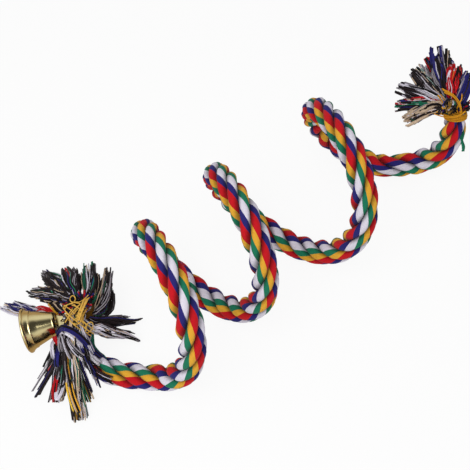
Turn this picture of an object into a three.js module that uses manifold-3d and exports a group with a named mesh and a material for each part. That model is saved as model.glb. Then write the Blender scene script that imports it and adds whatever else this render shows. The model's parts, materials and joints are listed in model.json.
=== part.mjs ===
// Spiral rope perch for a cage bird, laid on its side: four cotton strands laid round a bendable wire,
// bound at both ends, frayed into tassels, with a brass bell on a steel ring at the lower end.
// Millimetres, +Z up, +X along the coil from the bell end to the upper end.

import * as THREE from 'three';
import { mergeVertices } from 'three/addons/utils/BufferGeometryUtils.js';
import Module from 'manifold-3d';

const wasm = await Module();
wasm.setup();

// Rope
const ROPE_DIAMETER = 20;
const STRAND_COUNT = 4;
const LAY_LENGTH = 75;
const LAY_STEPS = 8;
const STRAND_SIDES = 6;
const WIRE_DIAMETER = 2.6;
const WIRE_SIDES = 5;
const PIECE_GAP = 0.3;
const FLOOR_PRESS = ROPE_DIAMETER / 10;
const ROUTE_DIVISIONS = 3000;
const SELF_GAP_APART = 4 * ROPE_DIAMETER;

// Coil: one station each half turn, at the bottom and the top of the turns, from the lower end up.
// Each gives the way along the axis as a share of the pitch, then the radius to the rope's middle
// and the drift to the side as shares of the coil's radius.
const COIL_PITCH = 100;
const COIL_RADIUS = 50;
const COIL_STATIONS = [
  { along: -0.35, radius: 1.06, side: 0 },
  { along: 0.175, radius: 1.06, side: 0.01 },
  { along: 0.5, radius: 1, side: 0.07 },
  { along: 0.9, radius: 1.04, side: 0 },
  { along: 1.36, radius: 1.19, side: 0.02 },
  { along: 1.91, radius: 1.09, side: -0.1 },
  { along: 2.53, radius: 1.01, side: 0.09 },
  { along: 3.25, radius: 0.96, side: 0.04 },
];
const COIL_START_TURN = -0.11;
const COIL_END_TURN = 2.79;
const COIL_POINTS_PER_TURN = 24;

// Hand-laid ends of the rope, as points [along, side, up] on the rope's middle. The way along and to
// the side is measured from the end of the coil that they carry on from, and the height from the surface.
const LOWER_END = [
  [-18.3, 90.8, 37],
  [-19.8, 83.3, 24.5],
  [-23.3, 73.8, 17],
  [-28.8, 62.8, 14],
  [-30.3, 50.8, 13],
  [-26.3, 38.8, 13],
  [-18.3, 27.8, 13.5],
  [-9.8, 14.3, 18],
];
const UPPER_END = [
  [22.6, -19.7, 18],
  [30.6, -30.2, 29],
  [36.6, -35.2, 43],
  [40.6, -34.7, 56],
  [43.1, -31.2, 68],
  [46.1, -25.7, 79],
];

// Bound necks at both ends of the rope
const NECK_DIAMETER = 15.5;
const NECK_TAPER_LENGTH = 34;
const BINDING_YARN = 1.8;
const BINDING_TURNS = 4.5;
const BINDING_PITCH = 2.5;
const BINDING_STEPS = 16;
const BINDING_SIDES = 5;
const BINDING_INSET = 2;

// Tassel locks. Each has the heading of its tip round the neck, seen from above, in degrees,
// its reach from the neck, the height of its tip over the surface and half its depth at the belly.
// A lock beside the bell is pressed down to a lower crest and keeps to a narrower sector.
const LOWER_LOCKS = [
  { heading: 124, reach: 75, tipUp: 0.4, halfDepth: 2.8, crest: 4, sector: 8, colour: 0x2b3566 },
  { heading: 107, reach: 60, tipUp: 6, halfDepth: 5.4, colour: 0x2a2023 },
  { heading: 90, reach: 55, tipUp: 14, halfDepth: 6, colour: 0x2a2023 },
  { heading: 72, reach: 47, tipUp: 22, halfDepth: 6, colour: 0x332629 },
  { heading: 44, reach: 42, tipUp: 34, halfDepth: 6, colour: 0x2a2023 },
  { heading: 15, reach: 40, tipUp: 32, halfDepth: 6, colour: 0x2a2023 },
  { heading: -36, reach: 43, tipUp: 8, halfDepth: 5, colour: 0x3b3236 },
  { heading: -58, reach: 45, tipUp: 5, halfDepth: 5, colour: 0xb9b2b5 },
  { heading: -104, reach: 60, tipUp: 24, halfDepth: 3, colour: 0x2a2023 },
  { heading: -127, reach: 80, tipUp: 1.5, halfDepth: 4.5, colour: 0xc0913a },
  { heading: -142, reach: 72, tipUp: 1.5, halfDepth: 4.5, colour: 0x5a4a44 },
  { heading: -156, reach: 69, tipUp: 1, halfDepth: 3, crest: 3, sector: 6, colour: 0xd7d2d6 },
];
const UPPER_LOCKS = [
  { heading: 138, reach: 40, tipUp: 64, halfDepth: 5, colour: 0x8a7662 },
  { heading: 124, reach: 49, tipUp: 72, halfDepth: 6.5, colour: 0x3d5a50 },
  { heading: 110, reach: 52, tipUp: 80, halfDepth: 6.5, colour: 0xd9d4d8 },
  { heading: 92, reach: 50, tipUp: 90, halfDepth: 6.5, colour: 0xc8c0c4 },
  { heading: 76, reach: 48, tipUp: 98, halfDepth: 6.5, colour: 0x3a4676 },
  { heading: 60, reach: 47, tipUp: 106, halfDepth: 6, colour: 0x2a2023 },
  { heading: 42, reach: 30, tipUp: 107, halfDepth: 5, colour: 0xb3262e },
  { heading: 8, reach: 18, tipUp: 101, halfDepth: 4.5, colour: 0x2b3566 },
  { heading: -170, reach: 25, tipUp: 98, halfDepth: 4.5, colour: 0xc39a55 },
];
const LOCK_ROOT_RADIUS = 5.2;
const LOCK_ROOT_HALF_DEPTH = 2;
const LOCK_TIP_SHARE = 0.45;
const LOCK_WIDEST = 12;
const LOCK_SPRING = 5;
const LOCK_CREST = 8;
const LOCK_CREST_RISE = 0.12;
const LOCK_CREST_SHARE = 0.35;
const LOCK_FULL_FROM = 0.5;
const LOCK_THIN_FROM = 0.7;
const LOCK_WIDEST_SECTOR = 16;
const LOCK_RINGS = 7;
const LOCK_SIDES = 8;

// Knot of the binding yarn on the middle of the lower tassel
const KNOT_RADIUS = 5;
const KNOT_LIFT = 10;
const KNOT_STEPS = 56;
const KNOT_TURNS = 2;
const KNOT_LOOPS = 3;

// Bell, measured along its axis from the mouth
const BELL_MOUTH_DIAMETER = 36.5;
const BELL_SHOULDER_DIAMETER = 18.6;
const BELL_SHOULDER_HEIGHT = 24;
const BELL_CROWN_HEIGHT = 27;
const BELL_LIP_HEIGHT = 6.6;
const BELL_LIP_DIAMETER = 30;
const BELL_BEAD = 1.1;
const BELL_WALL = 1.1;
const BELL_FACETS = 24;
const BELL_CROWN_ROUNDING = 0.9;
const BELL_CURVE_STEPS = 3;
const EAR_THICKNESS = 2;
const EAR_HOLE_DIAMETER = 2.8;
const EAR_WALL = 1.5;
const EAR_NECK = 1.9;
const EAR_FOOT_WIDTH = 12;
const EAR_SINK = 1;
const EAR_CURVE_STEPS = 8;

// Ring and tie between the lower neck and the bell
const RING_WIRE = 1.8;
const RING_DIAMETER = 7;
const RING_STANDOFF = 0.8;
const RING_SIDES = 8;
const RING_STEPS = 20;
const TIE_YARN = 1.6;
const TIE_SLACK = 0.9;
const TIE_SIDES = 8;
const TIE_STEPS = 10;
const CHAIN_HEADING = 153;
const CHAIN_DROP = 6;
const CHAIN_DOWN_NECK = 8.6;

// Clapper inside the bell
const STAPLE_WIRE = 1.2;
const STAPLE_WIDTH = 4.4;
const STAPLE_DROP = 3.4;
const STAPLE_CORNER_STEPS = 3;
const CLAPPER_EYE_WIRE = 1.2;
const CLAPPER_EYE_PLAY = 0.4;
const CLAPPER_STEM = 1.6;
const CLAPPER_BALL = 7;
const CLAPPER_LENGTH = 18;
const CLAPPER_FACETS = 12;
const STEEPEST_LEAN = 80;
const LEAN_STEP = 0.5;

const UP = new THREE.Vector3(0, 0, 1);
const toy = new THREE.Group();

function finish(colour, roughness, metalness) {
  return new THREE.MeshStandardMaterial({ color: colour, roughness, metalness });
}

function addPiece(parent, name, geometry, material) {
  const mesh = new THREE.Mesh(geometry, material);
  mesh.name = name;
  parent.add(mesh);
  return mesh;
}

// Shares the corners of touching triangles and drops triangles with no area.
function weld(geometry) {
  const bare = geometry.clone();
  for (const name of Object.keys(bare.attributes)) {
    if (name !== 'position') bare.deleteAttribute(name);
  }
  const shared = mergeVertices(bare, 1e-4);
  const corners = shared.index.array;
  const kept = [];
  for (let i = 0; i < corners.length; i += 3) {
    const [a, b, c] = [corners[i], corners[i + 1], corners[i + 2]];
    if (a !== b && b !== c && c !== a) kept.push(a, b, c);
  }
  shared.setIndex(kept);
  return shared;
}

function solidOf(geometry) {
  const shared = weld(geometry);
  return new wasm.Manifold(new wasm.Mesh({
    numProp: 3,
    vertProperties: new Float32Array(shared.attributes.position.array),
    triVerts: new Uint32Array(shared.index.array),
  }));
}

function geometryOf(solid) {
  const mesh = solid.getMesh();
  const geometry = new THREE.BufferGeometry();
  geometry.setAttribute('position', new THREE.BufferAttribute(mesh.vertProperties, mesh.numProp));
  geometry.setIndex(new THREE.BufferAttribute(mesh.triVerts, 1));
  geometry.computeVertexNormals();
  return geometry;
}

// A closed skin over rings of equal count, each ring running anticlockwise seen from the last one.
function loft(rings) {
  const sides = rings[0].length;
  const corners = rings.flat().flatMap((point) => point.toArray());
  const faces = [];
  for (let i = 0; i + 1 < rings.length; i += 1) {
    for (let j = 0; j < sides; j += 1) {
      const a = i * sides + j;
      const b = i * sides + (j + 1) % sides;
      faces.push(a, b, a + sides, b, b + sides, a + sides);
    }
  }
  const last = (rings.length - 1) * sides;
  for (let j = 1; j + 1 < sides; j += 1) {
    faces.push(0, j + 1, j, last, last + j, last + j + 1);
  }
  const geometry = new THREE.BufferGeometry();
  geometry.setAttribute('position', new THREE.Float32BufferAttribute(corners, 3));
  geometry.setIndex(faces);
  geometry.computeVertexNormals();
  return geometry;
}

// Frames carried along a line of points without twist: tangent, normal and binormal at each point.
function carryFrames(points, firstNormal) {
  const frames = [];
  let normal = firstNormal.clone();
  points.forEach((point, i) => {
    const before = points[Math.max(i - 1, 0)];
    const after = points[Math.min(i + 1, points.length - 1)];
    const tangent = after.clone().sub(before).normalize();
    normal = normal.clone().addScaledVector(tangent, -normal.dot(tangent)).normalize();
    frames.push({ point, tangent, normal, binormal: tangent.clone().cross(normal) });
  });
  return frames;
}

// A polygon round a frame's point, moved off it by an offset in the frame.
function ringAt(frame, offsetNormal, offsetBinormal, halfNormal, halfBinormal, sides, turn = 0) {
  return Array.from({ length: sides }, (_, j) => {
    const angle = turn + (2 * Math.PI * j) / sides;
    return frame.point.clone()
      .addScaledVector(frame.normal, offsetNormal + halfNormal * Math.cos(angle))
      .addScaledVector(frame.binormal, offsetBinormal + halfBinormal * Math.sin(angle));
  });
}

function tubeAlong(points, radius, sides, firstNormal) {
  const frames = carryFrames(points, firstNormal);
  return loft(frames.map((frame) => ringAt(frame, 0, 0, radius, radius, sides)));
}

// Least clear distance between parts of one tube that lie some points apart along it.
function leastSelfGap(points, diameter, pointsApart) {
  let least = Infinity;
  for (let i = 0; i < points.length; i += 1) {
    for (let j = i + pointsApart; j < points.length; j += 1) {
      least = Math.min(least, points[i].distanceTo(points[j]));
    }
  }
  return least - diameter;
}

// The point that carries on straight past an end, away from the point before it.
function straightOn(before, end, length) {
  return end.clone().addScaledVector(end.clone().sub(before).normalize(), length);
}

// Rope route: lower end, coil, upper end
function coilPoint(stations, turn) {
  const span = COIL_STATIONS.length - 1;
  const { x: along, y: radius, z: side } = stations.getPoint((turn + 0.25) * 2 / span);
  const angle = 2 * Math.PI * turn;
  const height = radius + ROPE_DIAMETER / 2 - FLOOR_PRESS;
  return new THREE.Vector3(along, side - radius * Math.cos(angle), height + radius * Math.sin(angle));
}

function ropeRoute() {
  const rows = COIL_STATIONS.map(({ along, radius, side }) => (
    new THREE.Vector3(along * COIL_PITCH, radius * COIL_RADIUS, side * COIL_RADIUS)
  ));
  const stations = new THREE.CatmullRomCurve3(rows, false, 'catmullrom', 0.5);
  const turns = COIL_END_TURN - COIL_START_TURN;
  const count = Math.round(turns * COIL_POINTS_PER_TURN);
  const coil = Array.from({ length: count + 1 }, (_, i) => (
    coilPoint(stations, COIL_START_TURN + (turns * i) / count)
  ));
  const [first, last] = [coil[0].clone().setZ(0), coil.at(-1).clone().setZ(0)];
  const lower = LOWER_END.map((row) => new THREE.Vector3(...row).add(first));
  const upper = UPPER_END.map((row) => new THREE.Vector3(...row).add(last));
  const route = new THREE.CatmullRomCurve3([...lower, ...coil, ...upper], false, 'centripetal');
  route.arcLengthDivisions = ROUTE_DIVISIONS;
  return route;
}

const route = ropeRoute();
const ropeLength = route.getLength();
const ropeSteps = Math.round((ropeLength * LAY_STEPS) / LAY_LENGTH);
const ropePoints = Array.from({ length: ropeSteps + 1 }, (_, i) => route.getPointAt(i / ropeSteps));
const ropeFrames = carryFrames(ropePoints, new THREE.Vector3(1, 0, 0));

// The bound ends draw the rope in from its full size to the neck's.
function squeeze(step) {
  const fromEnd = (Math.min(step, ropeSteps - step) * ropeLength) / ropeSteps;
  const share = THREE.MathUtils.smoothstep(fromEnd, BINDING_TURNS * BINDING_PITCH, NECK_TAPER_LENGTH);
  return THREE.MathUtils.lerp(NECK_DIAMETER / ROPE_DIAMETER, 1, share);
}

// Round strands that touch: the circle through their middles, then each strand's radius,
// less the gap and the flattening of a helix drawn in straight steps.
const strandSpread = Math.sin(Math.PI / STRAND_COUNT);
const strandCircle = ROPE_DIAMETER / 2 / (1 + strandSpread);
const chordShare = Math.cos(Math.PI / LAY_STEPS);

function strandRadius(circle) {
  return circle * chordShare * strandSpread - PIECE_GAP / 2;
}

function strand(index) {
  const rings = ropeFrames.map((frame, step) => {
    const circle = strandCircle * squeeze(step);
    const radius = strandRadius(circle);
    const angle = (2 * Math.PI * step) / LAY_STEPS + (2 * Math.PI * index) / STRAND_COUNT;
    return ringAt(frame, circle * Math.cos(angle), circle * Math.sin(angle), radius, radius, STRAND_SIDES);
  });
  return loft(rings);
}

// The surface that the toy lies on presses the soft strands and locks flat.
function pressFlat(geometry, frame = new THREE.Matrix4()) {
  const placed = geometry.clone().applyMatrix4(frame);
  const box = new THREE.Box3().setFromBufferAttribute(placed.attributes.position);
  if (box.min.z >= 0) return geometry;
  const size = box.getSize(new THREE.Vector3()).addScalar(ROPE_DIAMETER);
  const middle = box.getCenter(new THREE.Vector3());
  const slab = new THREE.BoxGeometry(size.x, size.y, ROPE_DIAMETER);
  slab.translate(middle.x, middle.y, -ROPE_DIAMETER / 2);
  const pressed = geometryOf(solidOf(placed).subtract(solidOf(slab)));
  return pressed.applyMatrix4(frame.clone().invert());
}

function addRope() {
  const colours = [0xb4262f, 0x2e3f86, 0xd9a23c, 0x2c7d5a];
  colours.forEach((colour, i) => {
    addPiece(toy, `rope_strand_${i + 1}`, pressFlat(strand(i)), finish(colour, 0.95, 0));
  });
  const firstFull = ropeFrames.findIndex((_, step) => squeeze(step) >= 1);
  const wirePoints = ropePoints.slice(firstFull, ropePoints.length - firstFull);
  const wire = tubeAlong(wirePoints, WIRE_DIAMETER / 2, WIRE_SIDES, ropeFrames[firstFull].normal);
  addPiece(toy, 'core_wire', wire, finish(0x8d9196, 0.4, 1));
  const stepsApart = Math.round((SELF_GAP_APART * LAY_STEPS) / LAY_LENGTH);
  const gap = leastSelfGap(ropePoints, ROPE_DIAMETER, stepsApart);
  console.log(`rope length ${ropeLength.toFixed(1)} mm, least gap to itself ${gap.toFixed(2)} mm`);
}

// A neck's frame: its end point and the way the yarn leaves it.
function neckFrame(endStep, innerStep) {
  const end = ropePoints[endStep];
  const axis = end.clone().sub(ropePoints[innerStep]).normalize();
  const group = new THREE.Group();
  group.position.copy(end);
  group.quaternion.setFromUnitVectors(UP, axis);
  toy.add(group);
  return { end, axis, group };
}

const lowerNeck = neckFrame(0, 1);
const upperNeck = neckFrame(ropeSteps, ropeSteps - 1);
const neckCircle = strandCircle * (NECK_DIAMETER / ROPE_DIAMETER);
const neckSurface = neckCircle + strandRadius(neckCircle);
const bindingRadius = (neckSurface + PIECE_GAP + BINDING_YARN / 2) / Math.cos(Math.PI / BINDING_STEPS);
const bindingSurface = bindingRadius + BINDING_YARN / 2;

// Binding: one length of yarn wound down the neck from just below its end, with straight ends
function addBinding(neck, name) {
  const count = Math.round(BINDING_TURNS * BINDING_STEPS);
  const points = Array.from({ length: count + 1 }, (_, i) => {
    const angle = (2 * Math.PI * i) / BINDING_STEPS;
    const depth = BINDING_INSET + (BINDING_PITCH * i) / BINDING_STEPS;
    return new THREE.Vector3(bindingRadius * Math.cos(angle), bindingRadius * Math.sin(angle), -depth);
  });
  const gap = leastSelfGap(points, BINDING_YARN, BINDING_STEPS / 2);
  points.unshift(straightOn(points[1], points[0], BINDING_YARN));
  points.push(straightOn(points.at(-2), points.at(-1), BINDING_YARN));
  const winding = tubeAlong(points, BINDING_YARN / 2, BINDING_SIDES, UP);
  addPiece(neck.group, name, winding, finish(0xd99a2b, 0.9, 0));
  console.log(`${name} least gap to itself ${gap.toFixed(2)} mm`);
}

// Tassel: each lock lies in its own sector round the neck's axis, so that no two locks cross.
function tasselLocks(neck, locks) {
  const toNeck = neck.group.quaternion.clone().invert();
  const aimed = locks.map((lock) => {
    const heading = THREE.MathUtils.degToRad(lock.heading);
    const away = new THREE.Vector3(Math.cos(heading) * lock.reach, Math.sin(heading) * lock.reach, 0);
    away.z = lock.tipUp - neck.end.z;
    const tip = away.applyQuaternion(toNeck);
    return { ...lock, tip, bearing: Math.atan2(tip.y, tip.x) };
  });
  aimed.sort((a, b) => a.bearing - b.bearing);
  return aimed.map((lock, i) => {
    const widest = THREE.MathUtils.degToRad(lock.sector ?? LOCK_WIDEST_SECTOR);
    const next = aimed[(i + 1) % aimed.length];
    const last = aimed[(i + aimed.length - 1) % aimed.length];
    const ahead = THREE.MathUtils.euclideanModulo(next.bearing - lock.bearing, 2 * Math.PI);
    const behind = THREE.MathUtils.euclideanModulo(lock.bearing - last.bearing, 2 * Math.PI);
    const high = Math.min(ahead / 2, widest);
    const low = Math.min(behind / 2, widest);
    const bearing = lock.bearing + (high - low) / 2;
    return { ...lock, bearing, halfSector: (high + low) / 2 };
  });
}

function lockShape(lock) {
  const out = new THREE.Vector3(Math.cos(lock.bearing), Math.sin(lock.bearing), 0);
  const across = UP.clone().cross(out);
  const reach = Math.hypot(lock.tip.x, lock.tip.y);
  const tip = out.clone().multiplyScalar(reach).setZ(lock.tip.z);
  const root = out.clone().multiplyScalar(LOCK_ROOT_RADIUS).setZ(PIECE_GAP);
  const spring = root.clone().setZ(PIECE_GAP + LOCK_SPRING);
  const crest = out.clone().multiplyScalar(LOCK_ROOT_RADIUS + reach * LOCK_CREST_SHARE);
  crest.z = (lock.crest ?? LOCK_CREST) + Math.abs(tip.z) * LOCK_CREST_RISE;
  const curve = new THREE.CubicBezierCurve3(root, spring, crest, tip);
  const rings = [];
  for (let i = 0; i <= LOCK_RINGS; i += 1) {
    const share = i / LOCK_RINGS;
    const point = curve.getPoint(share);
    const tangent = curve.getTangent(share);
    const radial = point.x * out.x + point.y * out.y;
    const thinning = THREE.MathUtils.smoothstep(share, LOCK_THIN_FROM, 1);
    const fullness = THREE.MathUtils.lerp(1, LOCK_TIP_SHARE, thinning);
    const width = Math.min(radial * Math.sin(lock.halfSector) - PIECE_GAP, LOCK_WIDEST) * fullness;
    const swell = THREE.MathUtils.smoothstep(share, 0, LOCK_FULL_FROM);
    const depth = THREE.MathUtils.lerp(LOCK_ROOT_HALF_DEPTH, lock.halfDepth, swell) * fullness;
    const frame = { point, tangent, normal: across, binormal: tangent.clone().cross(across) };
    rings.push(ringAt(frame, 0, 0, width, depth, LOCK_SIDES, Math.PI / LOCK_SIDES));
  }
  return loft(rings);
}

function addTassel(neck, prefix, locks) {
  neck.group.updateMatrix();
  tasselLocks(neck, locks).forEach((lock) => {
    const number = locks.findIndex((row) => row.heading === lock.heading) + 1;
    const shape = pressFlat(lockShape(lock), neck.group.matrix);
    addPiece(neck.group, `${prefix}_${number}`, shape, finish(lock.colour, 0.95, 0));
  });
}

function addKnot() {
  const yarn = BINDING_YARN / 2;
  const loops = new THREE.TorusKnotGeometry(
    KNOT_RADIUS, yarn, KNOT_STEPS, BINDING_SIDES, KNOT_TURNS, KNOT_LOOPS,
  );
  const knot = weld(loops);
  knot.translate(0, 0, KNOT_LIFT);
  addPiece(lowerNeck.group, 'lower_knot', knot, finish(0xd99a2b, 0.9, 0));
}

// Bell chain: a frame on the lower neck's axis whose -Z runs through tie, ring and bell to the mouth.
const ringWireAt = bindingSurface + RING_STANDOFF + RING_WIRE / 2;
const ringAway = ringWireAt + RING_DIAMETER / 2;
const earHoleAway = ringWireAt + RING_DIAMETER;
const earRadius = EAR_HOLE_DIAMETER / 2 + EAR_WALL;
const earHoleHeight = BELL_CROWN_HEIGHT + EAR_NECK + EAR_HOLE_DIAMETER / 2;
const bellMouthAway = earHoleAway + earHoleHeight;

function chainFrame() {
  const heading = THREE.MathUtils.degToRad(CHAIN_HEADING);
  const drop = THREE.MathUtils.degToRad(CHAIN_DROP);
  const back = new THREE.Vector3(Math.cos(heading) * Math.cos(drop), Math.sin(heading) * Math.cos(drop),
    -Math.sin(drop)).negate();
  const side = UP.clone().cross(back).normalize();
  const top = back.clone().cross(side);
  const group = new THREE.Group();
  group.quaternion.setFromRotationMatrix(new THREE.Matrix4().makeBasis(side, top, back));
  group.position.copy(lowerNeck.end).addScaledVector(lowerNeck.axis, -CHAIN_DOWN_NECK);
  toy.add(group);
  return group;
}

function addTie(chain) {
  const bend = RING_WIRE / 2 + TIE_SLACK + TIE_YARN / 2;
  const start = Math.sqrt(bindingSurface ** 2 - bend ** 2) + PIECE_GAP;
  const points = [new THREE.Vector3(-bend, 0, -start)];
  for (let i = 0; i <= TIE_STEPS; i += 1) {
    const angle = (Math.PI * i) / TIE_STEPS;
    points.push(new THREE.Vector3(-bend * Math.cos(angle), 0, -ringWireAt - bend * Math.sin(angle)));
  }
  points.push(new THREE.Vector3(bend, 0, -start));
  const loop = tubeAlong(points, TIE_YARN / 2, TIE_SIDES, new THREE.Vector3(0, 1, 0));
  addPiece(chain, 'bell_tie', loop, finish(0xd99a2b, 0.9, 0));
}

function addRing(chain) {
  const ring = weld(new THREE.TorusGeometry(RING_DIAMETER / 2, RING_WIRE / 2, RING_SIDES, RING_STEPS));
  ring.rotateY(Math.PI / 2);
  const mesh = addPiece(chain, 'bell_ring', ring, finish(0xb9bcc0, 0.25, 1));
  mesh.position.z = -ringAway;
}

// Bell profile from the inside of the crown, down to the rim, and up the outside
function bellProfile() {
  const mouth = BELL_MOUTH_DIAMETER / 2;
  const lip = BELL_LIP_DIAMETER / 2;
  const shoulder = BELL_SHOULDER_DIAMETER / 2;
  const outside = new THREE.Path();
  outside.moveTo(mouth - BELL_BEAD, 0);
  outside.quadraticCurveTo(mouth, 0, mouth, BELL_BEAD);
  outside.quadraticCurveTo(mouth - BELL_BEAD / 2, BELL_LIP_HEIGHT / 2, lip, BELL_LIP_HEIGHT);
  outside.lineTo(shoulder, BELL_SHOULDER_HEIGHT);
  outside.quadraticCurveTo(shoulder * BELL_CROWN_ROUNDING, BELL_CROWN_HEIGHT, 0, BELL_CROWN_HEIGHT);
  const inside = new THREE.Path();
  inside.moveTo(0, BELL_CROWN_HEIGHT - BELL_WALL);
  inside.quadraticCurveTo((shoulder - BELL_WALL) * BELL_CROWN_ROUNDING, BELL_CROWN_HEIGHT - BELL_WALL,
    shoulder - BELL_WALL, BELL_SHOULDER_HEIGHT);
  inside.lineTo(lip - BELL_WALL, BELL_LIP_HEIGHT);
  inside.lineTo(mouth - BELL_BEAD - BELL_WALL / 2, 0);
  return [...inside.getPoints(BELL_CURVE_STEPS), ...outside.getPoints(BELL_CURVE_STEPS)];
}

// Ear: a lug with a wide foot in the crown, whose straight sides run up to touch its round tip
function earPlate() {
  const foot = BELL_CROWN_HEIGHT - EAR_SINK;
  const half = EAR_FOOT_WIDTH / 2;
  const rise = earHoleHeight - foot;
  const touch = Math.acos(earRadius / Math.hypot(half, rise)) - Math.atan2(rise, half);
  const outline = new THREE.Shape();
  outline.moveTo(-half, foot);
  outline.lineTo(half, foot);
  outline.absarc(0, earHoleHeight, earRadius, touch, Math.PI - touch, false);
  const hole = new THREE.Path();
  hole.absarc(0, earHoleHeight, EAR_HOLE_DIAMETER / 2, 0, 2 * Math.PI, true);
  outline.holes.push(hole);
  const plate = new THREE.ExtrudeGeometry(outline, {
    depth: EAR_THICKNESS,
    bevelEnabled: false,
    curveSegments: EAR_CURVE_STEPS,
  });
  plate.translate(0, 0, -EAR_THICKNESS / 2);
  plate.rotateX(Math.PI / 2);
  return plate;
}

function addBell(chain) {
  const bell = new THREE.Group();
  bell.position.z = -bellMouthAway;
  chain.add(bell);
  const shell = new THREE.LatheGeometry(bellProfile(), BELL_FACETS);
  shell.rotateX(Math.PI / 2);
  const whole = solidOf(shell).add(solidOf(earPlate()));
  addPiece(bell, 'bell_shell', geometryOf(whole), finish(0xc79a45, 0.28, 1));
  return bell;
}

const clapperPivotHeight = BELL_CROWN_HEIGHT - BELL_WALL - PIECE_GAP - STAPLE_DROP;

function addStaple(bell) {
  const half = STAPLE_WIDTH / 2;
  const ceiling = BELL_CROWN_HEIGHT - BELL_WALL;
  const reach = (half + STAPLE_WIRE) / (BELL_SHOULDER_DIAMETER / 2 - BELL_WALL);
  const top = ceiling - (ceiling - BELL_SHOULDER_HEIGHT) * reach ** 2 - PIECE_GAP;
  const corner = STAPLE_WIRE;
  const points = [new THREE.Vector3(-half, 0, top)];
  for (const side of [-1, 1]) {
    for (let i = 0; i <= STAPLE_CORNER_STEPS; i += 1) {
      const step = side < 0 ? i : STAPLE_CORNER_STEPS - i;
      const angle = (Math.PI * step) / (2 * STAPLE_CORNER_STEPS);
      points.push(new THREE.Vector3(side * (half - corner + corner * Math.cos(angle)), 0,
        clapperPivotHeight + corner - corner * Math.sin(angle)));
    }
  }
  points.push(new THREE.Vector3(half, 0, top));
  const staple = tubeAlong(points, STAPLE_WIRE / 2, BINDING_SIDES, new THREE.Vector3(0, 1, 0));
  addPiece(bell, 'clapper_staple', staple, finish(0x9a9ea3, 0.35, 1));
}

// At rest the clapper leans on the bell's lower wall.
function clapperLean() {
  const ball = CLAPPER_BALL / 2;
  const lip = BELL_LIP_DIAMETER / 2;
  const slope = (lip - BELL_SHOULDER_DIAMETER / 2) / (BELL_SHOULDER_HEIGHT - BELL_LIP_HEIGHT);
  const slant = Math.hypot(1, slope);
  const facetShare = Math.cos(Math.PI / BELL_FACETS);
  let lean = 0;
  for (let degrees = 0; degrees < STEEPEST_LEAN; degrees += LEAN_STEP) {
    const angle = THREE.MathUtils.degToRad(degrees);
    const height = clapperPivotHeight - CLAPPER_LENGTH * Math.cos(angle);
    const wall = (lip + (BELL_LIP_HEIGHT - height) * slope - BELL_WALL) * facetShare;
    const clear = (wall - CLAPPER_LENGTH * Math.sin(angle)) / slant - ball;
    if (clear > PIECE_GAP) lean = angle;
  }
  return lean;
}

function addClapper(bell) {
  const eyeRadius = STAPLE_WIRE / 2 + CLAPPER_EYE_PLAY + CLAPPER_EYE_WIRE / 2;
  const eye = new THREE.TorusGeometry(eyeRadius, CLAPPER_EYE_WIRE / 2, CLAPPER_FACETS / 2, CLAPPER_FACETS);
  eye.rotateY(Math.PI / 2);
  const stemLength = CLAPPER_LENGTH - eyeRadius;
  const stem = new THREE.CylinderGeometry(CLAPPER_STEM / 2, CLAPPER_STEM / 2, stemLength, CLAPPER_FACETS);
  stem.rotateX(Math.PI / 2);
  stem.translate(0, 0, -eyeRadius - stemLength / 2);
  const ball = new THREE.SphereGeometry(CLAPPER_BALL / 2, CLAPPER_FACETS, CLAPPER_FACETS / 2);
  ball.translate(0, 0, -CLAPPER_LENGTH);
  const whole = solidOf(eye).add(solidOf(stem)).add(solidOf(ball));
  const mesh = addPiece(bell, 'clapper', geometryOf(whole), finish(0x8a8d91, 0.35, 1));
  mesh.position.z = clapperPivotHeight;
  mesh.rotation.x = -clapperLean();
  console.log(`clapper leans ${THREE.MathUtils.radToDeg(clapperLean()).toFixed(1)} degrees`);
}

addRope();
addBinding(lowerNeck, 'lower_whipping');
addBinding(upperNeck, 'upper_whipping');
addTassel(lowerNeck, 'lower_lock', LOWER_LOCKS);
addTassel(upperNeck, 'upper_lock', UPPER_LOCKS);
addKnot();
const chain = chainFrame();
addTie(chain);
addRing(chain);
const bell = addBell(chain);
addStaple(bell);
addClapper(bell);

// Origin under the middle of the toy's box
const footprint = new THREE.Box3().setFromObject(toy, true).getCenter(new THREE.Vector3());
toy.position.set(-footprint.x, -footprint.y, 0);
console.log(`origin moved by ${toy.position.toArray().map((v) => v.toFixed(2)).join(', ')}`);

export default toy;
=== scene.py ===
"""Spiral rope bird perch: coloured cotton rope, frayed tassels and a brass bell, dressed over its CAD frame.

Metres, +Z up, +X along the coil from the bell end to the upper end, as in the frame.
"""

import json
import math
import random

import bpy
import numpy as np
from bpy.props import FloatProperty, FloatVectorProperty, IntProperty, PointerProperty
from mathutils import Matrix, Vector


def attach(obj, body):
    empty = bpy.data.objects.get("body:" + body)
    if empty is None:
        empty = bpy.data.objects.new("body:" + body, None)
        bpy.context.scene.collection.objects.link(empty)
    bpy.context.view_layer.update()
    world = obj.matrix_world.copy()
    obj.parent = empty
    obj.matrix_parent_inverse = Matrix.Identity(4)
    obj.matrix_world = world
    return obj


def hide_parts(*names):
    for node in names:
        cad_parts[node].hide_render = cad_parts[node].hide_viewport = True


bl_info = {
    "name": "Spiral rope perch",
    "version": (1, 0, 0),
    "blender": (4, 5, 0),
    "location": "View3D > Sidebar > Perch",
    "description": "Lays a coloured rope coil with frayed tassels and hangs a brass bell on it",
    "category": "Object",
}

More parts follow.
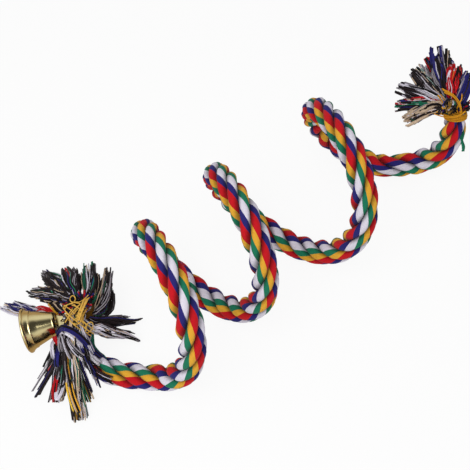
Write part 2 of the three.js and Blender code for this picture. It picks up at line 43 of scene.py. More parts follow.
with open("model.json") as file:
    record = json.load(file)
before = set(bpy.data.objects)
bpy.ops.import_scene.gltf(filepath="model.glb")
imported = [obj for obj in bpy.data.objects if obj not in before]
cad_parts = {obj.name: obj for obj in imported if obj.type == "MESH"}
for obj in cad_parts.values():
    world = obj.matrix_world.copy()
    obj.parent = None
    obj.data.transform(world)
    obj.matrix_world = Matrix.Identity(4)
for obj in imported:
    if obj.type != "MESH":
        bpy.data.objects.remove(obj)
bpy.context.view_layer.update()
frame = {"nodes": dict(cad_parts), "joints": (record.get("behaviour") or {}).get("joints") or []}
JOINTS = {joint["name"]: joint for joint in frame["joints"]}

# The frame's origin lies under the middle of the toy. The route below is measured from the coil's start.
ORIGIN_SHIFT = Vector((-0.11456, -0.02246, 0.0))

# Coil: along the axis, radius and drift to the side, one row for each half turn from the lower end
COIL_STATIONS = (
    (-0.035, 0.053, 0.0),
    (0.0175, 0.053, 0.0005),
    (0.050, 0.050, 0.0035),
    (0.090, 0.052, 0.0),
    (0.136, 0.0595, 0.001),
    (0.191, 0.0545, -0.005),
    (0.253, 0.0505, 0.0045),
    (0.325, 0.048, 0.002),
)
COIL_START_TURN = -0.11
COIL_END_TURN = 2.79
COIL_POINTS_PER_TURN = 24
STATIONS_PER_TURN = 2
FIRST_STATION_TURN = -0.25
LOWER_END = (
    (-0.038, 0.050, 0.037),
    (-0.0395, 0.0425, 0.0245),
    (-0.043, 0.033, 0.017),
    (-0.0485, 0.022, 0.014),
    (-0.050, 0.010, 0.013),
    (-0.046, -0.002, 0.013),
    (-0.038, -0.013, 0.0135),
    (-0.0295, -0.0265, 0.018),
)
UPPER_END = (
    (0.281, -0.0275, 0.018),
    (0.289, -0.038, 0.029),
    (0.295, -0.043, 0.043),
    (0.299, -0.0425, 0.056),
    (0.3015, -0.039, 0.068),
    (0.3045, -0.0335, 0.079),
)
FLOOR_PRESS = 0.002
FLOOR_CLEAR = 0.0001
ROUTE_SAMPLES = 2400
STRAND_COUNT = 4
LAY_STEPS = 8
NECK_SHARE = 0.775
NECK_BOUND = 0.01125

# Unlaid lower end: its length, how far it lies to the right in the picture and how much thinner it is there,
# and the stretch of rope that sags after it
LOOSE_END = 0.07
WAIST_SHIFT = -0.0075
WAIST_THIN = 0.27
SAG_FROM = 0.035
SAG_TO = 0.105
SAG = -0.0025
BEND_WINDOW = 9

# Tassel locks: heading of the tip round the neck in degrees, reach, height of the tip, half depth, crest and
# half sector in degrees. Then how the yarn departs from that line in the picture: its middle to the right, up
# and away, its tip to the right and up, and the share of the lock's width that it fills.
LOWER_LOCKS = (
    (124, 0.075, 0.0004, 0.0028, 0.004, 8, (-0.001, -0.015, 0.012), (-0.004, 0.002), 0.9),
    (107, 0.060, 0.006, 0.0054, 0.008, 16, (0.0, -0.001, 0.0), (0.002, -0.003), 0.85),
    (90, 0.055, 0.014, 0.006, 0.008, 16, (0.0, 0.0, 0.0), (-0.003, 0.0), 1.0),
    (72, 0.047, 0.022, 0.006, 0.008, 16, (0.0, 0.0, 0.0), (0.0, -0.002), 1.0),
    (44, 0.042, 0.034, 0.006, 0.008, 16, (0.006, -0.009, 0.0), (0.0, -0.002), 1.1),
    (15, 0.040, 0.032, 0.006, 0.008, 16, (0.008, -0.018, 0.0), (-0.003, 0.003), 1.15),
    (-36, 0.043, 0.008, 0.005, 0.008, 16, (0.002, -0.019, 0.0), (-0.001, -0.004), 0.75),
    (-58, 0.045, 0.005, 0.005, 0.008, 16, (0.0, -0.020, 0.0), (0.001, -0.001), 0.6),
    (-104, 0.060, 0.024, 0.003, 0.008, 16, (-0.006, 0.0, 0.0), (-0.010, -0.009), 0.9),
    (-127, 0.080, 0.0015, 0.0045, 0.008, 16, (0.0, 0.0, 0.0), (-0.008, 0.0), 0.8),
    (-142, 0.072, 0.0015, 0.0045, 0.008, 16, (0.010, -0.004, 0.0), (-0.006, 0.006), 1.15),
    (-156, 0.069, 0.001, 0.003, 0.003, 6, (0.015, 0.0, 0.0), (-0.007, 0.003), 1.9),
)
UPPER_LOCKS = (
    (138, 0.040, 0.064, 0.005, 0.008, 16, (0.0, 0.0, 0.0), (0.0, 0.002), 1.15),
    (124, 0.049, 0.072, 0.0065, 0.008, 16, (0.0, 0.0, 0.0), (0.0, 0.0), 1.25),
    (110, 0.052, 0.080, 0.0065, 0.008, 16, (0.0, 0.0, 0.0), (0.0, 0.0), 1.25),
    (92, 0.050, 0.090, 0.0065, 0.008, 16, (0.0, 0.0, 0.0), (0.0, 0.0), 1.25),
    (76, 0.048, 0.098, 0.0065, 0.008, 16, (0.0, 0.0, 0.0), (0.0, 0.0), 1.25),
    (60, 0.047, 0.106, 0.006, 0.008, 16, (-0.002, 0.0, 0.0), (-0.005, 0.001), 1.55),
    (42, 0.030, 0.107, 0.005, 0.008, 16, (-0.003, 0.001, 0.0), (-0.006, -0.003), 1.5),
    (8, 0.018, 0.101, 0.0045, 0.008, 16, (-0.003, 0.002, 0.0), (-0.004, 0.007), 1.3),
    (-170, 0.025, 0.098, 0.0045, 0.008, 16, (-0.001, 0.003, 0.0), (0.0, 0.004), 0.7),
)
LOWER_THINNING = 0.55
UPPER_THINNING = 0.85
LOCK_THIN_FROM = 0.65
LOCK_ROOT_RADIUS = 0.0052
LOCK_SPRING = 0.005
LOCK_CREST_RISE = 0.12
LOCK_CREST_SHARE = 0.35
LOCK_WIDEST = 0.012
LOCK_ROOT_DEPTH = 0.002
LOCK_DEEP_FROM = 0.5
LOCK_SLACK = 1.15

# Clumps of each lock from one side of its sector to the other, a letter for each. A capital is a folded loop.
YARN_LETTERS = {
    "k": "charcoal", "w": "white", "n": "navy", "r": "red", "y": "gold", "g": "green",
    "b": "beige", "s": "grey", "t": "sage", "o": "orange", "m": "olive",
}
LOWER_CLUMPS = (
    "wnwnnw", "kkskkkskk", "kskkskwkk", "kkskkrkkk", "kgkkbkkgk", "kkskkkbkk",
    "kkkskk", "kwWWsk", "nwknkwn", "kbkymkwkbkg", "kwkrkskwkk", "kskkrkks",
)
UPPER_CLUMPS = (
    "bkbbkbkb", "wknrnrkg", "WkWskwWk", "SkTkWkSk", "nkkrrkkS", "NkknkNkn", "rRkRoRRr", "nNkWNn", "kykmk",
)
FILLERS = ("charcoal", "charcoal", "grey", "charcoal", "white", "beige")
DARK_FILLERS = ("grey", "beige", "navy", "white", "green", "grey")
LOWER_MIXING = 0.36
UPPER_MIXING = 0.26
UPPER_YARN_SHARE = 1.3

PER_METRE = 1000
# View in which the loose yarns are placed: side and focal length in pixels, tilt below level, turn from the
# coil's axis, and in metres its distance from the point in the middle and that point from the coil's start
# (right, away, up). The camera has the same view in rounded numbers.
VIEW_SIDE = 470
VIEW_FOCUS = 823
VIEW_TILT = math.radians(60.6)
VIEW_TURN = math.radians(41.5)
VIEW_DISTANCE = 0.688
VIEW_TARGET = (0.0622, 0.0766, 0.04)
VIEW_DECIMALS = 4
CAMERA_PLACE = Vector((-0.1264, -0.2368, 0.6394))
CAMERA_AIM = Vector((0.325, 0.368, -0.871))
PICTURE_RIGHT = CAMERA_AIM.cross(Vector((0, 0, 1))).normalized()
PICTURE_UP = PICTURE_RIGHT.cross(CAMERA_AIM).normalized()


def tint(red, green, blue):
    """A colour from 0 to 255 on screen as a linear colour."""
    shares = [value / 255 for value in (red, green, blue)]
    return tuple(s / 12.92 if s <= 0.04045 else ((s + 0.055) / 1.055) ** 2.4 for s in shares)


def smoothstep(low, high, value):
    share = min(max((value - low) / (high - low), 0.0), 1.0)
    return share * share * (3 - 2 * share)


def mix(first, second, share):
    return first + (second - first) * share


# Settings that a user would change


def size_of(title, note, value, least):
    """A length that can be set."""
    return FloatProperty(
        name=title, description=note, default=value, min=least, subtype="DISTANCE", unit="LENGTH")


def colour_of(title, note, value):
    """A colour that can be set."""
    return FloatVectorProperty(name=title, description=note, default=value, subtype="COLOR", min=0, max=1)


class RopeSettings(bpy.types.PropertyGroup):
    diameter: size_of("Rope diameter", "Thickness over the strands", 0.020, 0.005)
    lay: size_of("Lay length", "Rope length in which a strand goes once round", 0.075, 0.01)
    ply_pitch: size_of("Ply pitch", "Rope length in which a colour goes once round its strand", 0.030, 0.005)
    step: size_of("Ring step", "Rope length between two rings of the strands' skin", 0.0024, 0.0005)
    white: colour_of("White ply", "Colour of the white cotton", tint(222, 217, 230))
    navy: colour_of("Navy ply", "Colour of the blue cotton", tint(42, 40, 112))
    red: colour_of("Red ply", "Colour of the red cotton", tint(196, 24, 34))
    gold: colour_of("Gold ply", "Colour of the golden cotton", tint(226, 168, 54))
    green: colour_of("Green ply", "Colour of the green cotton", tint(30, 118, 88))


class TasselSettings(bpy.types.PropertyGroup):
    yarn: size_of("Yarn diameter", "Thickness of one frayed yarn", 0.0011, 0.0002)
    yarns_per_clump: IntProperty(
        name="Yarns per clump", description="Yarns of one colour that hang together", default=11, min=1)
    crimp: size_of("Crimp", "Width of the waves that the rope's twist leaves in the yarn", 0.0011, 0.0)
    charcoal: colour_of("Charcoal yarn", "Colour of the dark filler yarn", tint(28, 21, 23))
    grey: colour_of("Grey yarn", "Colour of the grey yarn", tint(150, 144, 152))
    beige: colour_of("Beige yarn", "Colour of the undyed yarn", tint(206, 182, 156))
    binding: colour_of("Binding yarn", "Colour of the golden yarn that binds the necks", tint(219, 154, 32))
    sage: colour_of("Sage yarn", "Colour of the pale grey-green yarn", tint(150, 178, 172))
    orange: colour_of("Orange yarn", "Colour of the streak in the red locks", tint(222, 104, 44))
    olive: colour_of("Olive yarn", "Colour of the dull golden yarn", tint(150, 112, 44))
    seed: IntProperty(name="Seed", description="Start of the yarns' random lie", default=7)


class BellSettings(bpy.types.PropertyGroup):
    mouth: size_of("Mouth diameter", "Width of the bell over its rim", 0.0365, 0.01)
    wall: size_of("Wall", "Thickness of the brass", 0.0011, 0.0003)
    brass: colour_of("Brass", "Colour of the polished brass", tint(212, 198, 148))
    steel: colour_of("Steel", "Colour of the ring and the wires", tint(196, 197, 200))


class StageSettings(bpy.types.PropertyGroup):
    sky: FloatProperty(name="Sky light", description="Strength of the even light", default=0.5, min=0)
    key: FloatProperty(
        name="Key light", description="Power of the soft lamp over the left shoulder",
        default=5.0, min=0, unit="POWER")
    floor: colour_of("Floor", "Colour of the table", (0.9, 0.9, 0.9))


# Lines


def line_point(points, share, even):
    """A point on the smooth line through points, with even steps or steps by the root of the distance."""
    last = len(points) - 1
    index = min(int(share * last), last - 1)
    way = share * last - index
    here, there = points[index], points[index + 1]
    before = points[index - 1] if index else here * 2 - there
    after = points[index + 2] if index + 2 <= last else there * 2 - here
    if even:
        leave, arrive = (there - before) / 2, (after - here) / 2
    else:
        first, step, third = (
            math.sqrt((b - a).length) for a, b in ((before, here), (here, there), (there, after)))
        leave = ((here - before) / first - (there - before) / (first + step) + (there - here) / step) * step
        arrive = ((there - here) / step - (after - here) / (step + third) + (after - there) / third) * step
    square, cube = way * way, way ** 3
    return (here * (2 * cube - 3 * square + 1) + leave * (cube - 2 * square + way)
            + there * (3 * square - 2 * cube) + arrive * (cube - square))


def even_steps(points, step):
    """Points an equal way apart along a line, about one step each."""
    line = np.array([tuple(point) for point in points])
    lengths = np.concatenate([[0], np.cumsum(np.linalg.norm(np.diff(line, axis=0), axis=1))])
    count = max(2, round(lengths[-1] / step)) + 1
    along = np.linspace(0, lengths[-1], count)
    return np.stack([np.interp(along, lengths, line[:, k]) for k in range(3)], axis=1), along


def coil_point(stations, turn):
    rows = len(COIL_STATIONS) - 1
    along, radius, side = line_point(stations, (turn - FIRST_STATION_TURN) * STATIONS_PER_TURN / rows, True)
    angle = 2 * math.pi * turn
    height = radius + bpy.context.scene.perch_rope.diameter / 2 - FLOOR_PRESS
    return Vector((along, side - radius * math.cos(angle), height + radius * math.sin(angle)))


def rope_route():
    """The middle of the rope from the lower neck to the upper one, as a fine line."""
    stations = [Vector(row) for row in COIL_STATIONS]
    turns = COIL_END_TURN - COIL_START_TURN
    count = round(turns * COIL_POINTS_PER_TURN)
    coil = [coil_point(stations, COIL_START_TURN + turns * i / count) for i in range(count + 1)]
    points = [Vector(row) for row in LOWER_END] + coil + [Vector(row) for row in UPPER_END]
    return [line_point(points, i / ROUTE_SAMPLES, False) + ORIGIN_SHIFT for i in range(ROUTE_SAMPLES + 1)]


def waist(from_end):
    """1 in the middle of the unlaid end, where the yarns hang aside and the bundle is thin, 0 elsewhere."""
    return math.sin(math.pi * min(from_end / LOOSE_END, 1.0)) ** 2


def slack_route(step):
    """The rope's middle in even steps, with its unlaid end hanging aside."""
    points, along = even_steps(rope_route(), step)
    aside = np.array([waist(length) for length in along])[:, None]
    down = np.sin(np.pi * np.clip((along - SAG_FROM) / (SAG_TO - SAG_FROM), 0, 1))[:, None] ** 2
    moved = points + aside * np.array(PICTURE_RIGHT) * WAIST_SHIFT + down * np.array(PICTURE_UP) * SAG
    return even_steps(moved, step)


def bend_inward(points):
    """At each point, the way to the inside of the bend, as long as the rope's bend is tight."""
    step = np.linalg.norm(np.diff(points, axis=0), axis=1).mean()
    tangents = np.gradient(points, axis=0) / step
    inward = np.gradient(tangents, axis=0) / step
    kernel = np.ones(BEND_WINDOW) / BEND_WINDOW
    return np.stack([np.convolve(inward[:, k], kernel, mode="same") for k in range(3)], axis=1)


def carry_frames(line, first_normal):
    """Normal and binormal at each point of a line, carried along it without twist."""
    tangents = np.gradient(line, axis=0)
    tangents /= np.linalg.norm(tangents, axis=1)[:, None]
    normals = np.empty_like(line)
    normal = np.array(first_normal, float)
    for i, tangent in enumerate(tangents):
        normal = normal - tangent * np.dot(normal, tangent)
        normal /= np.linalg.norm(normal)
        normals[i] = normal
    return normals, np.cross(tangents, normals)


class Skein:
    """Corners, faces, UVs and colours of the tubes that make one piece; the colours carry painted shade where
    a piece has it.
    """

    def __init__(self):
        self.corners, self.faces, self.uvs, self.tints = [], [], [], []

    def add(self, rings, lengths, colour=(1, 1, 1)):
        """One closed tube over rings of equal count, with u round it and v along it in metres."""
        count, sides = rings.shape[:2]
        start = len(self.corners)
        self.corners.extend(map(tuple, rings.reshape(-1, 3)))
        self.tints.extend(map(tuple, np.broadcast_to(colour, rings.shape).reshape(-1, 3)))
        for i in range(count - 1):
            low, high = lengths[i], lengths[i + 1]
            for j in range(sides):
                near, far = j / sides, (j + 1) / sides
                a = start + i * sides + j
                b = start + i * sides + (j + 1) % sides
                self.faces.append((a, b, b + sides, a + sides))
                self.uvs.extend(((near, low), (far, low), (far, high), (near, high)))
        last = start + (count - 1) * sides
        self.faces.append(tuple(range(start + sides - 1, start - 1, -1)))
        self.faces.append(tuple(range(last, last + sides)))
        self.uvs.extend([(0.5, lengths[0])] * sides + [(0.5, lengths[-1])] * sides)

    def piece(self, name, material):
        mesh = bpy.data.meshes.new(name)
        mesh.from_pydata(self.corners, [], self.faces)
        layer = mesh.uv_layers.new(name="UVMap")
        layer.data.foreach_set("uv", np.array(self.uvs, np.float32).ravel())
        colours = mesh.color_attributes.new(name="yarn_tint", type="FLOAT_COLOR", domain="POINT")
        opaque = np.ones((len(self.tints), 1), np.float32)
        rows = np.concatenate([np.array(self.tints, np.float32), opaque], axis=1)
        colours.data.foreach_set("color", rows.ravel())
        mesh.polygons.foreach_set("use_smooth", [True] * len(mesh.polygons))
        mesh.materials.append(material)
        mesh.update()
        piece = bpy.data.objects.new(name, mesh)
        bpy.context.scene.collection.objects.link(piece)
        return piece


# Plied yarn: its plies, the length of a turn, rings in a turn, columns of each ply and depth of the grooves
CORD_PLIES = 3
CORD_PITCH = 0.006
CORD_STEPS = 8
CORD_COLUMNS = 4
CORD_GROOVE = 0.25
ANY_SIDE = (0.31, 0.53, 0.79)


def seen(across, down, height):
    """The point shown at a place in the picture in pixels and a height in millimetres, to a tenth of one."""
    level, steep = math.cos(VIEW_TILT), math.sin(VIEW_TILT)
    right, away, up = VIEW_TARGET
    away -= VIEW_DISTANCE * level
    up += VIEW_DISTANCE * steep
    rise = (VIEW_SIDE / 2 - down) / VIEW_FOCUS
    reach = (up - height / PER_METRE) / (steep - rise * level)
    right += reach * (across - VIEW_SIDE / 2) / VIEW_FOCUS
    away += reach * (level + rise * steep)
    sine, cosine = math.sin(VIEW_TURN), math.cos(VIEW_TURN)
    point = (right * cosine + away * sine, away * cosine - right * sine, height / PER_METRE)
    return Vector([round(part, VIEW_DECIMALS) for part in point])


def smooth_line(points, steps):
    return [line_point(points, i / steps, False) for i in range(steps + 1)]


def ring_corners(centres, first, second, reach, angles):
    """Corners round each centre, at a reach and an angle from the first way across the line to the second."""
    return (centres[:, None, :]
            + first[:, None, :] * (reach * np.cos(angles))[:, :, None]
            + second[:, None, :] * (reach * np.sin(angles))[:, :, None])


def add_cord(skein, line, radius, colour):
    """Adds a yarn that is twisted from plies, each a shallow lobe of its skin."""
    points, along = even_steps(line, CORD_PITCH / CORD_STEPS)
    normals, binormals = carry_frames(points, ANY_SIDE)
    angles = np.linspace(0, 2 * np.pi, CORD_COLUMNS * CORD_PLIES, endpoint=False)
    across = np.abs(np.linspace(-1, 1, CORD_COLUMNS, endpoint=False))
    swell = np.tile(1 - CORD_GROOVE * across ** 2, CORD_PLIES)
    turned = angles[None, :] + 2 * np.pi * along[:, None] / CORD_PITCH
    skein.add(ring_corners(points, normals, binormals, radius * swell, turned), along, colour)


def above_floor(rings):
    """The same rings, with nothing under the table."""
    rings[:, :, 2] = np.maximum(rings[:, :, 2], FLOOR_CLEAR)
    return rings


# Materials


def new_finish(name):
    """A material with its nodes, and its main shader."""
    material = bpy.data.materials.new(name)
    material.use_nodes = True
    return material, material.node_tree, material.node_tree.nodes["Principled BSDF"]


def add_node(tree, kind, **values):
    node = tree.nodes.new(kind)
    for key, value in values.items():
        setattr(node, key, value)
    return node


def sums(tree, operation, first, second):
    """A Math node on two sockets or numbers, giving its result."""
    node = add_node(tree, "ShaderNodeMath", operation=operation)
    for socket, value in zip(node.inputs, (first, second)):
        if isinstance(value, (int, float)):
            socket.default_value = value
        else:
            tree.links.new(value, socket)
    return node.outputs[0]


def uv_parts(tree):
    split = add_node(tree, "ShaderNodeSeparateXYZ")
    tree.links.new(add_node(tree, "ShaderNodeUVMap", uv_map="UVMap").outputs[0], split.inputs[0])
    return split.outputs[0], split.outputs[1]


def streaks(tree, around, along, detail):
    """Noise that is drawn out along the yarn."""
    join = add_node(tree, "ShaderNodeCombineXYZ")
    tree.links.new(around, join.inputs[0])
    tree.links.new(along, join.inputs[1])
    noise = add_node(tree, "ShaderNodeTexNoise")
    noise.inputs["Scale"].default_value = 1.0
    noise.inputs["Detail"].default_value = detail
    tree.links.new(join.outputs[0], noise.inputs["Vector"])
    return noise.outputs["Fac"]


def thread_relief(tree, around, along, threads):
    """Height of the twisted threads and the finer fibres on a yarn's skin."""
    def times(socket, name):
        return sums(tree, "MULTIPLY", socket, threads[name])

    turns = sums(tree, "ADD", times(around, "round"), times(along, "lean"))
    waves = sums(tree, "SINE", sums(tree, "MULTIPLY", turns, 2 * math.pi), 0.0)
    fibres = streaks(tree, times(around, "fibres_round"), times(along, "fibres_along"), threads["detail"])
    return sums(tree, "ADD", times(waves, "height"), fibres)


def map_range(tree, value, to_low, to_high, from_low=0.0, from_high=1.0, interpolation="LINEAR"):
    """A value spread from one range over another."""
    node = add_node(tree, "ShaderNodeMapRange", interpolation_type=interpolation)
    tree.links.new(value, node.inputs["Value"])
    limits = {"From Min": from_low, "From Max": from_high, "To Min": to_low, "To Max": to_high}
    for name, limit in limits.items():
        node.inputs[name].default_value = limit
    return node.outputs[0]


def shade(tree, colour, factor, low, high):
    """A colour made darker and lighter by a factor from 0 to 1."""
    scale = add_node(tree, "ShaderNodeVectorMath", operation="SCALE")
    tree.links.new(colour, scale.inputs[0])
    tree.links.new(map_range(tree, factor, low, high), scale.inputs["Scale"])
    return scale.outputs[0]


def raise_by(tree, shader, height, strength, distance):
    bump = add_node(tree, "ShaderNodeBump")
    bump.inputs["Strength"].default_value = strength
    bump.inputs["Distance"].default_value = distance
    tree.links.new(height, bump.inputs["Height"])
    tree.links.new(bump.outputs[0], shader.inputs["Normal"])


def cotton(shader):
    shader.inputs["Roughness"].default_value = 0.92
    shader.inputs["Specular IOR Level"].default_value = 0.12
    shader.inputs["Sheen Weight"].default_value = 0.06
    shader.inputs["Sheen Roughness"].default_value = 0.5


PLY_SHARES = (("white", 9), ("green", 7), ("gold", 7), ("red", 10), ("navy", 7))
PLY_PHASES = (0.0, 1.92, 5.41, 0.47)
STRAND_COLUMNS = sum(count for _, count in PLY_SHARES)
# Threads and fibres on the skin: how many go round, how far they lean in a metre, and how high they are
ROPE_THREADS = {"round": 34.0, "lean": 260.0, "height": 0.3, "fibres_round": 60.0, "fibres_along": 220.0,
                "detail": 3.0}
YARN_THREADS = {"round": 2.0, "lean": 420.0, "height": 0.25, "fibres_round": 8.0, "fibres_along": 300.0,
                "detail": 2.0}
PLY_GROOVE = 0.07


def rope_finish(settings):
    """Five dyed plies round each strand, with fine threads along them, and painted shade in the grooves
    between strands from the vertex colours.
    """
    material, tree, shader = new_finish("twisted_cotton")
    around, along = uv_parts(tree)
    ramp = add_node(tree, "ShaderNodeValToRGB")
    ramp.color_ramp.interpolation = "CONSTANT"
    tree.links.new(around, ramp.inputs[0])
    steps = ramp.color_ramp.elements
    start = 0
    for index, (name, count) in enumerate(PLY_SHARES):
        step = steps[index] if index < len(steps) else steps.new(start / STRAND_COLUMNS)
        step.position = start / STRAND_COLUMNS
        step.color = (*getattr(settings, name), 1)
        start += count
    height = thread_relief(tree, around, along, ROPE_THREADS)
    # The colour follows the relief height: painted shade in the hollows between threads, with random tone
    # from the fibre noise.
    tone = shade(tree, ramp.outputs[0], height, low=0.86, high=1.12)
    # Painted shade of the grooves between strands, from the vertex colours, darkens the plies' colours.
    light = add_node(tree, "ShaderNodeVertexColor", layer_name="yarn_tint").outputs[0]
    grooves = add_node(tree, "ShaderNodeVectorMath", operation="MULTIPLY")
    tree.links.new(tone, grooves.inputs[0])
    tree.links.new(light, grooves.inputs[1])
    tree.links.new(grooves.outputs[0], shader.inputs["Base Color"])
    raise_by(tree, shader, height, strength=0.35, distance=0.0004)
    cotton(shader)
    return material


def yarn_finish(name):
    """Frayed yarn in the colour that each yarn carries, painted shade included where a yarn has it."""
    material, tree, shader = new_finish(name)
    around, along = uv_parts(tree)
    colour = add_node(tree, "ShaderNodeVertexColor", layer_name="yarn_tint").outputs[0]
    height = thread_relief(tree, around, along, YARN_THREADS)
    # The colour follows the relief height: painted shade in the hollows between threads, with random tone
    # from the fibre noise.
    tree.links.new(shade(tree, colour, height, low=0.75, high=1.2), shader.inputs["Base Color"])
    raise_by(tree, shader, height, strength=0.4, distance=0.0003)
    cotton(shader)
    return material


def metal_finish(name, colour, smooth, rough, scale):
    """Metal with faint smudges, smoother and rougher in places."""
    material, tree, shader = new_finish(name)
    shader.inputs["Metallic"].default_value = 1.0
    noise = add_node(tree, "ShaderNodeTexNoise")
    noise.inputs["Scale"].default_value = scale
    noise.inputs["Detail"].default_value = 4.0
    tree.links.new(add_node(tree, "ShaderNodeTexCoord").outputs["Object"], noise.inputs["Vector"])
    smudge = noise.outputs["Fac"]
    tree.links.new(map_range(tree, smudge, smooth, rough), shader.inputs["Roughness"])
    base = add_node(tree, "ShaderNodeRGB")
    base.outputs[0].default_value = (*colour, 1)
    tree.links.new(shade(tree, base.outputs[0], smudge, low=0.88, high=1.08), shader.inputs["Base Color"])
    raise_by(tree, shader, smudge, strength=0.06, distance=0.0002)
    return material


# Rope


STRAND_MIDDLE = 0.53
STRAND_DOME = 0.49
WIRE_ROOM = 0.0014
SECTION_POWER = 8
INNER_BULGE = 0.0078
FIRM_FROM = 0.115
ROPE_FULLNESS = 1.045
UPPER_TAPER = 0.016
UPPER_BOUND = 0.0045
# Painted shade in the grooves between strands: how dark it gets, the angle from the strand's outside where it
# starts, and the angle over which it deepens.
GROOVE_SHADE = 0.55
GROOVE_FROM = 0.75
GROOVE_WIDE = 0.75
# Waves along the rope: their size, their length and their shift from strand to strand
STRAND_WAVE = (0.02, 0.061, 2.1)
PLY_WAVES = ((0.18, 0.19, 1.7), (0.1, 0.083, 1.0))
WIRE_SHARE = 0.9
WIRE_SIDES = 10


def neck_squeeze(from_end, bound, taper):
    return mix(NECK_SHARE, 1.0, smoothstep(bound, taper, from_end))


def strand_section(angles, radius):
    """Way from a strand's middle to its skin: a dome outside, flat against its neighbours and the wire."""
    half = math.pi / STRAND_COUNT
    middle = STRAND_MIDDLE * radius
    nearness = (1 / (STRAND_DOME * radius)) ** SECTION_POWER + 0 * angles
    for side in (angles, -angles):
        slope = np.maximum(np.sin(side - half), 0)
        nearness = nearness + (slope / (middle * math.sin(half))) ** SECTION_POWER
    inward = np.maximum(-np.cos(angles), 0)
    nearness = nearness + (inward / (middle - WIRE_ROOM)) ** SECTION_POWER
    return nearness ** (-1 / SECTION_POWER)


def rope_radius(points, along, outward, settings):
    """Way from the rope's middle to the tops of its strands, on the side that outward names at each point."""
    length = along[-1]
    squeeze = np.array([
        min(neck_squeeze(s, NECK_BOUND, LOOSE_END), neck_squeeze(length - s, UPPER_BOUND, UPPER_TAPER))
        * (1 - WAIST_THIN * waist(s)) for s in along])
    firm = np.array([smoothstep(LOOSE_END, FIRM_FROM, s) for s in along])
    bulge = 1 + INNER_BULGE * firm * np.einsum("ij,ij->i", bend_inward(points), outward)
    return settings.diameter / 2 * ROPE_FULLNESS * squeeze * bulge


def ripple(along, wave, index):
    size, length, shift = wave
    return size * np.sin(2 * np.pi * along / length + shift * index)


def strand_rings(points, along, settings, index):
    """Rings of one strand: five plies twist one way round it while it goes the other way round the rope. Also
    the painted shade that darkens its skin toward the grooves.
    """
    length = along[-1]
    lay = LAY_STEPS * length / round(length * LAY_STEPS / settings.lay)
    normals, binormals = carry_frames(points, (1, 0, 0))
    uneven = 1 + ripple(along, STRAND_WAVE, index)
    theta = 2 * np.pi * along / lay + 2 * np.pi * index / STRAND_COUNT
    out = normals * np.cos(theta)[:, None] + binormals * np.sin(theta)[:, None]
    radius = rope_radius(points, along, out, settings) * uneven
    side = binormals * np.cos(theta)[:, None] - normals * np.sin(theta)[:, None]
    centres = points + out * (STRAND_MIDDLE * radius)[:, None]
    across = np.concatenate([np.abs(np.linspace(-1, 1, count, endpoint=False)) for _, count in PLY_SHARES])
    wander = sum(ripple(along, wave, index) for wave in PLY_WAVES)
    angles = np.linspace(0, 2 * np.pi, STRAND_COLUMNS, endpoint=False)
    turned = angles[None, :] + (PLY_PHASES[index] + wander - 2 * np.pi * along / settings.ply_pitch)[:, None]
    reach = strand_section(turned, radius[:, None]) * (1 - PLY_GROOVE * across ** 3)
    rings = above_floor(ring_corners(centres, out, side, reach, turned))
    # Painted shade: the skin is darkened where it turns into the grooves between strands.
    aside = np.abs((turned + np.pi) % (2 * np.pi) - np.pi)
    shadow = np.clip((aside - GROOVE_FROM) / GROOVE_WIDE, 0, 1)
    light = 1 - GROOVE_SHADE * shadow * shadow * (3 - 2 * shadow)
    return rings, np.repeat(light[:, :, None], 3, axis=2)


class PERCH_OT_rope(bpy.types.Operator):
    """Lays the rope: strands of dyed plies round the wire"""

    bl_idname = "perch.rope"
    bl_label = "Lay rope"

    def execute(self, context):
        settings = context.scene.perch_rope
        points, along = slack_route(settings.step)
        skein = Skein()
        for index in range(STRAND_COUNT):
            rings, light = strand_rings(points, along, settings, index)
            skein.add(rings, along, light)
        rope = skein.piece("rope", rope_finish(settings))
        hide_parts(*[f"rope_strand_{i + 1}" for i in range(STRAND_COUNT)])
        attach(rope, "rope")
        wire = Skein()
        wire.add(*plain_rings(points, WIRE_ROOM * WIRE_SHARE, WIRE_SIDES))
        steel = context.scene.perch_bell.steel
        finish = metal_finish("core_wire_steel", steel, smooth=0.3, rough=0.5, scale=300)
        core = wire.piece("core_steel", finish)
        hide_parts("core_wire")
        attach(core, "rope")
        return {"FINISHED"}


# Necks and tassels


class Neck:
    """An end of the rope: its last point and the turn from +Z to the way the yarn leaves it."""

    def __init__(self, end, inner):
        self.end = Vector(end)
        self.axis = (self.end - Vector(inner)).normalized()
        self.turn = Vector((0, 0, 1)).rotation_difference(self.axis)

    def place(self, points):
        rotation = np.array(self.turn.to_matrix())
        return np.asarray(points) @ rotation.T + np.array(self.end)


def necks(context):
    points, _ = even_steps(rope_route(), context.scene.perch_rope.lay / LAY_STEPS)
    return Neck(points[0], points[1]), Neck(points[-1], points[-2])


def picture_way(neck, way):
    """A way right, up and, where given, away from the camera in the picture, turned to the neck's frame."""
    right, up, away = (*way, 0.0)[:3]
    return neck.turn.inverted() @ (PICTURE_RIGHT * right + PICTURE_UP * up + CAMERA_AIM * away)


